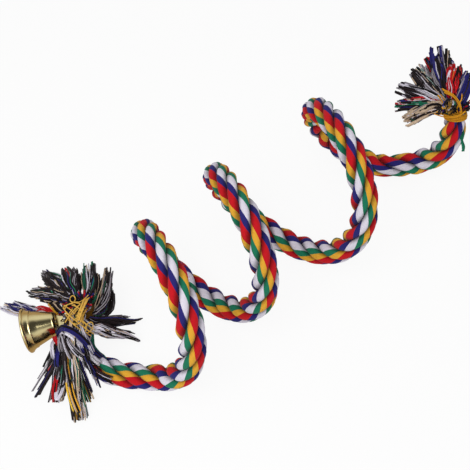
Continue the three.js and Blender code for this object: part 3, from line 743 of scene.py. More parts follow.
def aim_locks(neck, locks):
    """Bearing and half sector of each lock round the neck's axis, so that no two locks cross."""
    aimed = []
    for number, (heading, reach, tip_up, half_depth, crest, sector, bow, sweep, fill) in enumerate(locks, 1):
        angle = math.radians(heading)
        away = Vector((math.cos(angle) * reach, math.sin(angle) * reach, tip_up - neck.end.z))
        tip = neck.turn.inverted() @ away
        aimed.append({"number": number, "tip": tip, "bearing": math.atan2(tip.y, tip.x),
                      "half_depth": half_depth, "crest": crest, "sector": math.radians(sector),
                      "bow": picture_way(neck, bow), "sweep": picture_way(neck, sweep), "fill": fill})
    aimed.sort(key=lambda lock: lock["bearing"])
    placed = []
    for index, lock in enumerate(aimed):
        following = aimed[(index + 1) % len(aimed)]
        last = aimed[index - 1]
        high = min(((following["bearing"] - lock["bearing"]) % (2 * math.pi)) / 2, lock["sector"])
        low = min(((lock["bearing"] - last["bearing"]) % (2 * math.pi)) / 2, lock["sector"])
        bearing = lock["bearing"] + (high - low) / 2
        placed.append({**lock, "bearing": bearing, "half_sector": (high + low) / 2})
    return sorted(placed, key=lambda lock: lock["number"])


def bezier(corners, share):
    a, b, c, d = corners
    rest = 1 - share
    point = a * rest ** 3 + b * 3 * share * rest ** 2 + c * 3 * share ** 2 * rest + d * share ** 3
    slope = (b - a) * 3 * rest ** 2 + (c - b) * 6 * share * rest + (d - c) * 3 * share ** 2
    return point, slope.normalized()


class LockForm:
    """The space of one lock in its neck's frame: a bent, fanning bundle."""

    def __init__(self, lock, thinning):
        self.half_sector, self.half_depth, self.thinning = lock["half_sector"], lock["half_depth"], thinning
        self.bow, self.sweep, self.fill = lock["bow"], lock["sweep"], lock["fill"]
        self.out = Vector((math.cos(lock["bearing"]), math.sin(lock["bearing"]), 0))
        self.across = Vector((0, 0, 1)).cross(self.out)
        reach = math.hypot(lock["tip"].x, lock["tip"].y)
        tip = self.out * reach + Vector((0, 0, lock["tip"].z))
        root = self.out * LOCK_ROOT_RADIUS
        spring = root + Vector((0, 0, LOCK_SPRING))
        crest = self.out * (LOCK_ROOT_RADIUS + reach * LOCK_CREST_SHARE)
        crest.z = lock["crest"] + abs(tip.z) * LOCK_CREST_RISE
        self.corners = (root, spring, crest, tip)
        self.length = (tip - root).length * LOCK_SLACK

    def place(self, share, sideways, up):
        """The point at shares of the way out, the half width and the half depth, and the way up there."""
        middle, slope = bezier(self.corners, share)
        radial = middle.dot(self.out)
        width = min(radial * math.sin(self.half_sector), LOCK_WIDEST)
        depth = mix(LOCK_ROOT_DEPTH, self.half_depth, smoothstep(0, LOCK_DEEP_FROM, share))
        fullness = mix(1.0, self.thinning, smoothstep(LOCK_THIN_FROM, 1.0, share))
        lift = slope.cross(self.across)
        middle += self.bow * (4 * share * (1 - share)) + self.sweep * share ** 2
        aside = self.across * (width * self.fill * fullness * sideways)
        return middle + aside + lift * (depth * fullness * up), lift


# Clumps: reach, wave length, share of the crimp, twist, how they come free of the neck and close at the tip
CLUMP_REACH = (0.84, 1.04)
CLUMP_WAVE = (0.016, 0.026)
CLUMP_CRIMP = (0.5, 1.3)
CLUMP_TWIST = (-2.0, 2.0)
CLUMP_FREE = (0.05, 0.5)
CLUMP_FLAT = 0.6
CLUMP_ROOT = 0.5
CLUMP_TIP = 0.7
CLUMP_TIP_FROM = 0.7


class Clump:
    """A bundle of yarns of one colour that keeps the waves of the old lay."""

    def __init__(self, form, sideways, up, radius, crimp, rng):
        self.form, self.sideways, self.up, self.radius = form, sideways, up, radius
        self.reach = rng.uniform(*CLUMP_REACH)
        self.phase, self.wave = rng.uniform(0, 2 * math.pi), rng.uniform(*CLUMP_WAVE)
        self.crimp = crimp * rng.uniform(*CLUMP_CRIMP)
        self.twist = rng.uniform(*CLUMP_TWIST)

    def point(self, share, out, angle):
        """The point at a share of the way out, a share of the clump's radius and an angle round it."""
        share *= self.reach
        middle, lift = self.form.place(min(share, 1.0), self.sideways, self.up)
        if share > 1:
            middle += self.form.out * ((share - 1) * self.form.length)
        loose = smoothstep(*CLUMP_FREE, share)
        turn = self.phase + 2 * math.pi * self.form.length * share / self.wave
        wave = self.form.across * math.cos(turn) + lift * (CLUMP_FLAT * math.sin(turn))
        middle += wave * (self.crimp * loose)
        closing = mix(1.0, CLUMP_TIP, smoothstep(CLUMP_TIP_FROM, 1.0, share))
        spread = self.radius * out * mix(CLUMP_ROOT, 1.0, loose) * closing
        angle += self.twist * share
        return middle + self.form.across * (spread * math.cos(angle)) + lift * (spread * math.sin(angle))


YARN_SEGMENTS = 11
YARN_SIDES = 4
YARN_REACH = (0.93, 1.02)
YARN_ROOT = 0.005
YARN_STRAY = 0.25
YARN_STRAY_FROM = 0.6
YARN_WIDTHS = (0.75, 1.15)
LOOSE_WIDTHS = (0.8, 1.25)
LOOP_SEGMENTS = 19
LOOP_REACH = (0.86, 1.0)
LOOP_HALF_WIDTH = 0.0024
LOOP_WIDTHS = (0.7, 1.2)
LOOP_ROUND = 2.2
LOOP_TIGHT = 0.7
LOOP_OPEN = (0.1, 0.5)


def yarn_line(clump, rng):
    """One yarn of a clump, from inside the neck to its cut end."""
    out, angle = math.sqrt(rng.random()), rng.uniform(0, 2 * math.pi)
    reach = rng.uniform(*YARN_REACH)
    stray = rng.gauss(0, YARN_STRAY)
    points = [clump.point(0, out, angle) - Vector((0, 0, YARN_ROOT))]
    for i in range(YARN_SEGMENTS):
        share = reach * i / (YARN_SEGMENTS - 1)
        spread = out * (1 + abs(stray) * smoothstep(YARN_STRAY_FROM, 1.0, share))
        points.append(clump.point(share, spread, angle + stray * share))
    return points


def loop_line(clump, rng):
    """One yarn that was folded back before it was bound, so that it shows a loop and no end."""
    out, angle = math.sqrt(rng.random()), rng.uniform(0, 2 * math.pi)
    reach, half = rng.uniform(*LOOP_REACH), LOOP_HALF_WIDTH * rng.uniform(*LOOP_WIDTHS)
    points = []
    for i in range(LOOP_SEGMENTS):
        way = i / (LOOP_SEGMENTS - 1)
        share = reach * (1 - abs(2 * way - 1) ** LOOP_ROUND)
        aside = half * math.cos(math.pi * way) * smoothstep(*LOOP_OPEN, share)
        points.append(clump.point(share, out * LOOP_TIGHT, angle) + clump.form.across * aside)
    return points


def plain_rings(line, radius, sides):
    points = np.array([tuple(p) for p in line])
    normals, binormals = carry_frames(points, ANY_SIDE)
    angles = np.linspace(0, 2 * np.pi, sides, endpoint=False)
    rings = (points[:, None, :] + radius * (normals[:, None, :] * np.cos(angles)[None, :, None]
                                            + binormals[:, None, :] * np.sin(angles)[None, :, None]))
    along = np.concatenate([[0], np.cumsum(np.linalg.norm(np.diff(points, axis=0), axis=1))])
    return rings, along


def yarn_colours(context):
    rope, tassel = context.scene.perch_rope, context.scene.perch_tassel
    named = {name: getattr(rope, name) for name in ("white", "navy", "red", "gold", "green")}
    named.update({name: getattr(tassel, name) for name in (
        "charcoal", "grey", "beige", "sage", "orange", "olive")})
    return {name: tuple(colour) for name, colour in named.items()}


# Shades of single yarns. Dark yarns differ most, because dye wears off them, and a few others are bleached.
YARN_SHADES = (0.75, 1.2)
DARK_YARN = 0.05
DARK_SHADE = 0.5
DARK_SPAN = 6.0
DARK_POWER = 1.5
BLEACHED_SHARE = 0.1
BLEACHED = 1.3
LIGHTEST = 0.9


def worn(colour, rng):
    """A yarn's own shade of its colour."""
    light = rng.uniform(*YARN_SHADES)
    if max(colour) < DARK_YARN:
        light = DARK_SHADE * DARK_SPAN ** rng.random() ** DARK_POWER
    elif rng.random() < BLEACHED_SHARE:
        light *= BLEACHED
    return tuple(min(LIGHTEST, part * light) for part in colour)


def add_yarn(skein, line, radius, colour):
    """Adds one plain yarn that keeps off the table."""
    rings, along = plain_rings(line, radius, YARN_SIDES)
    skein.add(above_floor(rings), along, colour)


# Letters whose clumps have half the yarns in a lock that is mostly dark
THIN_LETTERS = "wsbgr"
# Layers of clumps in a lock as shares of its half depth, from the top down, and how clumps fill and scatter
LAYERS = (0.62, -0.1, -0.75)
THIN_LOCK = 0.0035
LOCK_EDGE = 0.95
CLUMP_FULL = 1.15
CLUMP_ASIDE = 0.06
CLUMP_UP = 0.15


def own_colour(letter, palette, mixing, rng):
    """The colour of one yarn in a clump, most of which is the clump's own."""
    name = YARN_LETTERS[letter.lower()]
    if rng.random() < mixing:
        name = rng.choice(DARK_FILLERS if name == "charcoal" else FILLERS)
    return worn(palette[name], rng)


def fray(context, neck, locks, clumps, prefix, material, thinning, mixing, thickness):
    """Makes each lock of a tassel out of clumps of yarn."""
    settings = context.scene.perch_tassel
    palette = yarn_colours(context)
    for lock, letters in zip(aim_locks(neck, locks), clumps):
        node = f"{prefix}_{lock['number']}"
        rng = random.Random(f"{node} {settings.seed}")
        form = LockForm(lock, thinning)
        skein = Skein()
        layers = LAYERS[1:2] if lock["half_depth"] < THIN_LOCK else LAYERS
        widest = min(form.corners[3].dot(form.out) * math.sin(form.half_sector), LOCK_WIDEST)
        radius = CLUMP_FULL * widest * form.fill / len(letters)
        mostly_dark = letters.count("k") * 2 > len(letters)
        for layer in layers:
            for index, letter in enumerate(letters):
                sideways = mix(-LOCK_EDGE, LOCK_EDGE, index / (len(letters) - 1)) + rng.gauss(0, CLUMP_ASIDE)
                up = layer + rng.gauss(0, CLUMP_UP)
                clump = Clump(form, sideways, up, radius, settings.crimp, rng)
                draw = loop_line if letter.isupper() else yarn_line
                thinner = 2 if letter in THIN_LETTERS and mostly_dark else 1
                for _ in range(settings.yarns_per_clump // thinner):
                    line = neck.place([tuple(point) for point in draw(clump, rng)])
                    width = thickness / 2 * rng.uniform(*YARN_WIDTHS)
                    own = own_colour(letter, palette, mixing / 2 if letter == "k" else mixing, rng)
                    add_yarn(skein, line, width, own)
        piece = skein.piece(f"{node}_yarn", material)
        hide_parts(node)
        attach(piece, "rope")


CORE_YARNS = 190
CORE_POINTS = 6
CORE_RADIUS = 0.0055
CORE_HEIGHT = (0.008, 0.015)
CORE_FLARE = (0.2, 0.9)
CORE_DROOP = 0.25
CORE_DEPTH = 0.004
CORE_YARN_RADIUS = 0.0006
CORE_LEAN = 0.0065
CORE_COLOURS = ("charcoal", "charcoal", "charcoal", "navy", "charcoal", "red")


def core_tuft(context, neck, name, material, toward):
    """Short yarns over the middle of a neck, between the roots of the locks, with tips that lean one way."""
    palette = yarn_colours(context)
    rng = random.Random(name)
    skein = Skein()
    for _ in range(CORE_YARNS):
        angle, start = rng.uniform(0, 2 * math.pi), CORE_RADIUS * math.sqrt(rng.random())
        tall, flare = rng.uniform(*CORE_HEIGHT), rng.uniform(*CORE_FLARE)
        line = []
        for i in range(CORE_POINTS):
            way = i / (CORE_POINTS - 1)
            out = start + flare * tall * way * way
            rise = tall * way * (1 - CORE_DROOP * way) - CORE_DEPTH
            line.append((out * math.cos(angle), out * math.sin(angle), rise))
        leaning = neck.place(line) + np.linspace(0, 1, CORE_POINTS)[:, None] ** 2 * np.array(toward)
        add_yarn(skein, leaning, CORE_YARN_RADIUS, worn(palette[rng.choice(CORE_COLOURS)], rng))
    piece = skein.piece(name, material)
    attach(piece, "rope")


# Unlaid yarns round the lower end: where they end, how they lean, turn and lift, and how their ends tuck in
SLEEVE_SEED = 23
SLEEVE_YARNS = 72
SLEEVE_POINTS = 12
SLEEVE_STEP = 0.001
SLEEVE_ENDS = (0.044, 0.06)
SLEEVE_SCATTER = 0.05
SLEEVE_LEAN = (-0.2, 0.5)
SLEEVE_TURN = 2.4
SLEEVE_LIFT = (0.0002, 0.0013)
SLEEVE_LIFT_SPEED = 1.15
SLEEVE_TUCK = 0.0022
SLEEVE_TUCK_FROM = 0.88
SLEEVE_TUCK_LENGTH = 0.12
SLEEVE_YARN_RADIUS = 0.00062
SLEEVE_COLOURS = ("white", "navy", "charcoal", "white", "navy", "navy", "white")
# Green yarns lie on the right in the picture: how far, and the point of a yarn where that is judged
GREEN_SIDE = 0.55
GREEN_POINT = -4


def sleeve(context, material):
    """The lower end of the rope, where the strands have come unlaid into loose yarns."""
    palette = yarn_colours(context)
    rng = random.Random(SLEEVE_SEED)
    settings = context.scene.perch_rope
    points, along = slack_route(SLEEVE_STEP)
    normals, binormals = carry_frames(points, (1, 0, 0))
    ways = np.linspace(0, 1, SLEEVE_POINTS)
    skein = Skein()
    for number in range(SLEEVE_YARNS):
        angle = 2 * math.pi * number / SLEEVE_YARNS + rng.gauss(0, SLEEVE_SCATTER)
        end = rng.uniform(*SLEEVE_ENDS)
        lean = rng.uniform(*SLEEVE_LEAN)
        lift = rng.uniform(*SLEEVE_LIFT)
        rows = np.rint(mix(SLEEVE_STEP, end, ways) / SLEEVE_STEP).astype(int)
        turns = (angle + (lean + SLEEVE_TURN) * ways)[:, None]
        outward = normals * 0
        outward[rows] = normals[rows] * np.cos(turns) + binormals[rows] * np.sin(turns)
        skin = rope_radius(points, along, outward, settings)[rows]
        skin += lift * np.sin(np.pi * np.minimum(1, SLEEVE_LIFT_SPEED * ways))
        skin -= SLEEVE_TUCK * np.clip((ways - SLEEVE_TUCK_FROM) / SLEEVE_TUCK_LENGTH, 0, 1)
        line = points[rows] + outward[rows] * skin[:, None]
        facing = float(np.dot(outward[rows[GREEN_POINT]], PICTURE_RIGHT))
        name = "green" if facing > GREEN_SIDE else rng.choice(SLEEVE_COLOURS)
        add_yarn(skein, line, SLEEVE_YARN_RADIUS * rng.uniform(*LOOSE_WIDTHS), worn(palette[name], rng))
    piece = skein.piece("unlaid_yarn", material)
    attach(piece, "rope")


# Loose yarns: their colours, yarns of each, how far they lie over their way, how far they spread in the
# picture (right, up) at the root and at the tip, and the way that they take: places in the picture in pixels
# from its left and its top, each with a height over the table in millimetres
LOWER_LOOSE = (
    ("nknnkn", 3, 0.014, (-0.0008, 0.0018), (0.0016, 0.0014), (
        (56.8, 334.8, 32), (62, 328, 34), (67, 326, 37), (76, 328.5, 36), (85, 336, 32),
        (92, 345, 26), (98, 353, 21), (102, 359, 18))),
    ("wwsw", 3, 0.0145, (0.0, 0.0008), (0.0016, 0.0012), (
        (60, 334.5, 30), (63, 332, 33), (67.5, 330.5, 35), (75, 334, 33), (82, 341, 28),
        (90, 350, 23), (98, 360, 19), (103, 365, 17))),
    ("kwkwks", 2, 0.018, (0.0, 0.001), (0.003, 0.0015), (
        (62, 335, 32), (68, 335, 33), (74, 342, 29), (80, 349, 25), (87, 357, 21),
        (94, 366, 17))),
    ("wswk", 3, 0.021, (0.0008, 0.0), (0.0012, 0.0), (
        (62, 333.5, 32), (66, 335, 32), (70.5, 342, 28), (74, 351, 23), (76, 359, 19),
        (75, 364, 16))),
    ("sks", 2, 0.02, (0.0006, 0.0), (0.0015, 0.0), (
        (61, 334, 31), (64, 338, 31), (65, 346, 26), (64, 353, 22))),
    ("rrr", 3, 0.016, (0.0006, 0.0006), (0.0012, 0.0), (
        (55, 337, 26), (58.5, 335.5, 28), (61, 340, 28), (60.7, 347.1, 24))),
    ("www", 2, 0.018, (0.0006, 0.0), (0.0009, 0.0), (
        (57, 336, 26), (56, 342, 24), (57, 352, 19), (56.9, 362, 15))),
    ("nknn", 2, 0.018, (0.001, 0.0), (0.0014, 0.0), (
        (60.5, 342, 25), (61, 351, 21), (60.5, 360, 17), (59, 369, 12))),
    ("rrkrr", 2, 0.012, (-0.0008, 0.0), (-0.0018, 0.0), (
        (61.5, 364, 8), (60, 374, 8), (57.5, 387, 6), (55, 402, 3))),
    ("wwww", 2, 0.011, (0.0005, 0.0), (0.0012, 0.0), (
        (65, 366, 10), (66.5, 379, 9), (64, 390, 6), (59.5, 397, 5), (58.5, 389, 8),
        (62, 379, 12))),
    ("ykyby", 2, 0.013, (-0.0015, 0.0), (-0.003, 0.0), (
        (75, 358, 17), (71, 374, 15), (74, 390, 9), (78, 405, 5), (80, 417, 3))),
    ("bkmgk", 2, 0.004, (-0.0015, 0.0), (-0.003, 0.0), (
        (76, 356, 20), (81, 370, 16), (87, 388, 9), (91, 402, 4))),
    ("kkwkk", 2, 0.001, (0.0, 0.0012), (0.0, 0.0026), (
        (89, 365, 22), (98, 372.5, 24), (106, 377, 23), (113, 380.5, 20))),
    ("wrrr", 2, 0.001, (0.0, 0.0016), (0.0, 0.0022), (
        (60, 315, 20), (53, 311.5, 20), (47, 309.5, 18), (41, 308.5, 16), (36, 310, 13))),
    ("yby", 2, 0.001, (0.0, 0.0006), (0.0, 0.0008), (
        (58.2, 314.6, 20.8), (52.7, 308.9, 21.4), (47.8, 303.9, 20.1))),
    ("kkbkk", 4, 0.001, (0.0022, 0.0012), (0.001, 0.003), (
        (64.5, 312.7, 25.5), (58.9, 308.7, 23.5), (54, 303, 21), (48, 299.5, 17), (41, 297.5, 14))),
)
UPPER_LOOSE = (
    ("ggg", 2, 0.0, (0.001, 0.0), (0.0002, 0.0), (
        (459, 134, 64), (461, 140, 57), (463, 146, 52), (462, 151, 49))),
)


# How loose yarns scatter to the side, over their way and along it, points between two of its points, and the
# greatest number of points that is cut off
LOOSE_ASIDE = 0.12
LOOSE_ABOVE = 0.0016
LOOSE_STRAY = 0.0003
LOOSE_STEPS = 4
LOOSE_CUTS = 3
LOOSE_YARN_RADIUS = 0.00058


def loose_yarns(context, rows, name, material):
    """Yarns that hang out of a tassel or out of the rope next to it."""
    palette = yarn_colours(context)
    rng = random.Random(name)
    skein = Skein()
    for letters, each, over, root_spread, tip_spread, way in rows:
        points = [seen(*place) + ORIGIN_SHIFT for place in way]
        last = len(points) - 1
        for index, letter in enumerate(letters):
            for _ in range(each):
                aside = mix(-1.0, 1.0, index / (len(letters) - 1)) + rng.gauss(0, LOOSE_ASIDE)
                near = over + rng.uniform(0, LOOSE_ABOVE)
                line = []
                for i, point in enumerate(points):
                    right, up = (mix(a, b, i / last) * aside for a, b in zip(root_spread, tip_spread))
                    right += rng.gauss(0, LOOSE_STRAY)
                    above = near * math.sin(math.pi * i / last)
                    line.append(point + PICTURE_RIGHT * right + PICTURE_UP * up - CAMERA_AIM * above)
                fine = smooth_line(line, LOOSE_STEPS * last)
                fine = fine[:len(fine) - rng.randrange(LOOSE_CUTS)]
                width = LOOSE_YARN_RADIUS * rng.uniform(*LOOSE_WIDTHS)
                add_yarn(skein, fine, width, worn(palette[YARN_LETTERS[letter]], rng))
    piece = skein.piece(name, material)
    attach(piece, "rope")


class PERCH_OT_tassels(bpy.types.Operator):
    """Frays both ends of the rope into locks of yarn"""

    bl_idname = "perch.tassels"
    bl_label = "Fray tassels"

    def execute(self, context):
        lower, upper = necks(context)
        material = yarn_finish("frayed_yarn")
        yarn = context.scene.perch_tassel.yarn
        fray(context, lower, LOWER_LOCKS, LOWER_CLUMPS, "lower_lock", material,
             LOWER_THINNING, LOWER_MIXING, yarn)
        fray(context, upper, UPPER_LOCKS, UPPER_CLUMPS, "upper_lock", material,
             UPPER_THINNING, UPPER_MIXING, yarn * UPPER_YARN_SHARE)
        core_tuft(context, lower, "lower_core_yarn", material, CAMERA_AIM * -CORE_LEAN)
        core_tuft(context, upper, "upper_core_yarn", material, (0, 0, 0))
        sleeve(context, material)
        loose_yarns(context, LOWER_LOOSE, "lower_loose_yarn", material)
        loose_yarns(context, UPPER_LOOSE, "upper_loose_yarn", material)
        return {"FINISHED"}


BINDING_YARN = 0.0018
BINDING_TURNS = {"lower_whipping": 4.5, "upper_whipping": 3.3}
# Each binding's colour is scaled; the lower binding's 0.16 is painted shade, for its place in shadow under
# the net.
BINDING_PAINTED_SHADES = {"lower_whipping": 0.16, "upper_whipping": 0.9}
BINDING_PITCH = 0.0017
BINDING_INSET = 0.0012
BINDING_RADIUS = 0.0089
BINDING_STEPS = 32
BINDING_SWELL = 1.15
BINDING_UNEVEN = 0.03
BINDING_WAVES = 2.3
TAIL_SEED = 3
TAIL_NEAR = 0.0105
TAIL_SCATTER = 0.0008
TAIL_RADIUS = 0.0006
TAIL_WIDTHS = (0.8, 1.2)
TAIL_STEPS = 5
# Tails of the upper binding in millimetres to the right of the picture and up it, from the rope's end
UPPER_TAILS = (
    ((2.0, -6.0), (-4.0, -4.5), (-8.0, -0.4), (-13.0, 5.0), (-17.6, 11.9)),
    ((3.0, -5.0), (-3.0, -3.5), (-7.0, 1.4), (-11.5, 6.4), (-15.6, 12.4)),
    ((0.0, -5.5), (-1.5, 0.4), (2.6, 9.2), (1.7, 18.0)),
    ((1.0, -4.0), (-1.0, 5.0), (-5.5, 11.0), (-13.5, 16.0)),
    ((2.0, -3.5), (0.0, 4.0), (-4.5, 10.0), (-12.5, 14.0)),
    ((2.5, -3.0), (0.5, 5.5), (-5.0, 12.2), (-14.5, 17.2)),
    ((6.0, -2.0), (0.0, -6.0), (-8.0, -7.2), (-15.0, -6.0), (-21.0, -4.0)),
    ((6.5, -1.0), (1.0, -5.0), (-7.0, -6.2), (-14.0, -4.6), (-19.0, -2.4)),
)


def golden_tint(context):
    return tuple(context.scene.perch_tassel.binding)


class PERCH_OT_bindings(bpy.types.Operator):
    """Winds golden yarn round both necks"""

    bl_idname = "perch.bindings"
    bl_label = "Wind bindings"

    def execute(self, context):
        material = yarn_finish("binding_yarn")
        golden = golden_tint(context)
        for neck, node in zip(necks(context), ("lower_whipping", "upper_whipping")):
            line = []
            for i in range(round(BINDING_TURNS[node] * BINDING_STEPS) + 1):
                angle = 2 * math.pi * i / BINDING_STEPS
                depth = BINDING_INSET + BINDING_PITCH * i / BINDING_STEPS
                radius = BINDING_RADIUS * (1 + BINDING_UNEVEN * math.sin(BINDING_WAVES * angle))
                line.append((radius * math.cos(angle), radius * math.sin(angle), -depth))
            skein = Skein()
            # Painted shade darkens the lower binding.
            colour = [part * BINDING_PAINTED_SHADES[node] for part in golden]
            add_cord(skein, neck.place(line), BINDING_YARN / 2 * BINDING_SWELL, colour)
            if node == "upper_whipping":
                self.tails(skein, neck, golden)
            piece = skein.piece(f"{node}_yarn", material)
            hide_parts(node)
            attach(piece, "rope")
        return {"FINISHED"}

    def tails(self, skein, neck, golden):
        """Loose ends of the binding that lie over the tassel."""
        rng = random.Random(TAIL_SEED)
        for row in UPPER_TAILS:
            near = TAIL_NEAR + rng.uniform(-TAIL_SCATTER, TAIL_SCATTER)
            line = []
            for x, y in row:
                spot = neck.end + PICTURE_RIGHT * (x / PER_METRE) + PICTURE_UP * (y / PER_METRE)
                line.append(spot - CAMERA_AIM * near)
            width = TAIL_RADIUS * rng.uniform(*TAIL_WIDTHS)
            add_yarn(skein, smooth_line(line, TAIL_STEPS * len(row)), width, worn(golden, rng))


# Golden net on the lower tassel: middle, and yarns in millimetres to the right of the picture and up it
NET_MIDDLE = Vector((-0.0463, 0.0400, 0.0485))
NET_YARNS = (
    ((3.1, 9.7), (-0.9, 10.5), (-4.4, 11.4), (-6.1, 14.0), (-4.8, 15.5), (-2.6, 14.9), (-1.8, 12.7),
     (-3.1, 10.5), (-5.3, 9.7), (-8.8, 8.3), (-11.4, 6.6)),
    ((7.9, 16.2), (5.3, 13.2), (1.8, 11.0), (-1.8, 11.0), (-4.8, 10.1)),
    ((-11.4, 6.4), (-6.1, 2.2), (0.9, -4.0), (7.9, -11.0), (11.4, -14.9)),
    ((-10.5, 8.3), (-4.4, 5.0), (2.6, -1.2), (9.4, -8.4), (12.6, -12.0)),
    ((-9.4, 1.4), (-6.4, -1.4), (-1.0, -6.6), (6.0, -13.2), (9.6, -16.2)),
    ((-9.6, 5.2), (-7.0, 9.0), (-2.6, 9.6), (0.4, 6.4), (-1.6, 2.4), (-6.2, 1.0), (-9.4, 3.6),
     (-9.8, 6.6)),
    ((6.0, -9.8), (8.4, -5.6), (11.0, -4.8), (11.8, -8.0), (10.2, -11.6), (7.2, -13.2), (4.9, -12.0)),
    ((-2.6, -3.1), (0.9, -1.3), (4.4, -4.0), (7.0, -6.6), (6.1, -11.9), (2.6, -11.0), (-0.9, -6.6),
     (-2.6, -3.1)),
    ((-8.8, -4.8), (-5.3, 0.4), (-0.9, 5.7), (3.1, 9.7)),
    ((-7.0, -6.6), (-1.8, -10.1), (4.4, -15.4), (9.7, -15.8)),
    ((-4.0, 8.6), (1.4, 7.0), (4.6, 1.2), (2.2, -5.4), (-3.4, -4.6), (-6.0, 0.6), (-3.2, 6.0)),
)
NET_STRAND = ((1.6, -3.1), (3.4, 3.0), (5.4, 9.6), (6.8, 14.2))
NET_STRAND_YARNS = 6
NET_REACH = 0.015
NET_DOME = 0.0035
NET_FALL = 0.0085
NET_SHADE = 0.68
# Painted shade that darkens the golden loops under the net
FILL_PAINTED_SHADE = 0.08
NET_SEED = 11
NET_HEIGHT = 0.0042
NET_STEPS = 8
NET_SHADES = (0.5, 1.0)
NET_WIDTHS = (0.38, 0.55)
# Strand that runs out of the net: its spread at the root and from point to point, and its yarns
NET_STRAND_SPREAD = 0.0015
NET_STRAND_FAN = (0.6, 0.2)
NET_STRAND_NEAR = 0.002
NET_STRAND_STEPS = 24
NET_STRAND_CUTS = 5
NET_STRAND_WIDTHS = (0.42, 0.6)
NET_STRAND_DARK = 0.5
# Golden loops darkened by painted shade that fill the net from below: places to the right and up, sizes and
# lean
FILL_LOOPS = 16
FILL_RIGHT = (0.0, 0.0022)
FILL_UP = (-0.001, 0.003)
FILL_SIZES = (0.0025, 0.0045)
FILL_LEAN = (-1.2, 0.2)
FILL_POINTS = 37
FILL_ROUND = 32
FILL_NEAR = -0.005
FILL_RISE = 0.00004
FILL_WIDTH = 0.8
TIE_REACH = 0.0113
TIE_BEND = 0.0026
TIE_BENDS = (0.98, 1.06)
TIE_HEIGHTS = (-0.0005, 0.0003, 0.0011)
TIE_STEPS = 24
TIE_WIDTH = 0.5


def net_spot(right, up, near):
    """A place on the net's dome: to the right of its middle in the picture, up, and toward the camera."""
    dome = NET_DOME - NET_FALL * (right * right + up * up) / NET_REACH ** 2
    return (NET_MIDDLE + ORIGIN_SHIFT + PICTURE_RIGHT * right + PICTURE_UP * up
            - CAMERA_AIM * (near + dome))


class PERCH_OT_knot(bpy.types.Operator):
    """Ties the net of golden yarn on the lower tassel and the loops round the bell's ring"""

    bl_idname = "perch.knot"
    bl_label = "Tie knot"

    def execute(self, context):
        material = bpy.data.materials["binding_yarn"]
        gold = tuple(part * NET_SHADE for part in golden_tint(context))
        rng = random.Random(NET_SEED)
        net = Skein()
        self.mesh_yarns(net, gold, rng)
        self.strand(net, gold, rng)
        self.fill(net, gold, rng)
        piece = net.piece("lower_knot_yarn", material)
        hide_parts("lower_knot")
        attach(piece, "rope")
        self.tie(material, gold, rng)
        return {"FINISHED"}

    def mesh_yarns(self, net, gold, rng):
        """Yarns that cross each other over the net's dome."""
        for row in NET_YARNS:
            heights = [rng.uniform(0, NET_HEIGHT) for _ in row]
            spots = [net_spot(x / PER_METRE, y / PER_METRE, h) for (x, y), h in zip(row, heights)]
            dyed = tuple(part * rng.uniform(*NET_SHADES) for part in gold)
            width = BINDING_YARN / 2 * rng.uniform(*NET_WIDTHS)
            add_cord(net, smooth_line(spots, NET_STEPS * len(row)), width, worn(dyed, rng))

    def strand(self, net, gold, rng):
        """Yarns that run out of the net side by side."""
        root, fan = NET_STRAND_FAN
        for number in range(NET_STRAND_YARNS):
            shift = mix(-NET_STRAND_SPREAD, NET_STRAND_SPREAD, number / (NET_STRAND_YARNS - 1))
            spots = []
            for i, (x, y) in enumerate(NET_STRAND):
                near = NET_STRAND_NEAR + rng.uniform(0, NET_STRAND_NEAR)
                spots.append(net_spot(x / PER_METRE + shift * (root + fan * i), y / PER_METRE, near))
            line = smooth_line(spots, NET_STRAND_STEPS)
            # Every third yarn is darkened: painted shade between the yarns of the strand.
            dyed = tuple(part * (NET_STRAND_DARK if number % 3 == 1 else 1.0) for part in gold)
            cut = line[:len(line) - rng.randrange(NET_STRAND_CUTS)]
            add_cord(net, cut, BINDING_YARN / 2 * rng.uniform(*NET_STRAND_WIDTHS), worn(dyed, rng))

    def fill(self, net, gold, rng):
        """Golden loops under the net, darkened by painted shade."""
        shaded_gold = tuple(part * FILL_PAINTED_SHADE for part in gold)
        for _ in range(FILL_LOOPS):
            right, up = rng.gauss(*FILL_RIGHT), rng.gauss(*FILL_UP)
            wide, tall, lean = rng.uniform(*FILL_SIZES), rng.uniform(*FILL_SIZES), rng.uniform(*FILL_LEAN)
            line = []
            for i in range(FILL_POINTS):
                angle = 2 * math.pi * i / FILL_ROUND
                x, y = wide * math.cos(angle), tall * math.sin(angle)
                line.append(net_spot(right + x * math.cos(lean) - y * math.sin(lean),
                                     up + x * math.sin(lean) + y * math.cos(lean), FILL_NEAR + FILL_RISE * i))
            add_cord(net, line, BINDING_YARN / 2 * FILL_WIDTH, worn(shaded_gold, rng))

    def tie(self, material, gold, rng):
        """Golden loops that hold the ring to the neck."""
        turn, back, places = chain_frame()
        side, top = turn.col[0].to_3d(), turn.col[1].to_3d()
        skein = Skein()
        for height in TIE_HEIGHTS:
            bend = TIE_BEND * rng.uniform(*TIE_BENDS)
            line = []
            for i in range(TIE_STEPS + 1):
                angle = math.pi * i / TIE_STEPS
                line.append(side * (-bend * math.cos(angle)) - back * (bend * math.sin(angle)))
            line = [side * -bend + back * TIE_REACH] + line + [side * bend + back * TIE_REACH]
            line = [point + places["ring_lift"] + top * height for point in line]
            add_cord(skein, line, BINDING_YARN / 2 * TIE_WIDTH, worn(gold, rng))
        piece = skein.piece("bell_tie_yarn", material)
        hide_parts("bell_tie")
        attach(piece, "rope")


# Bell


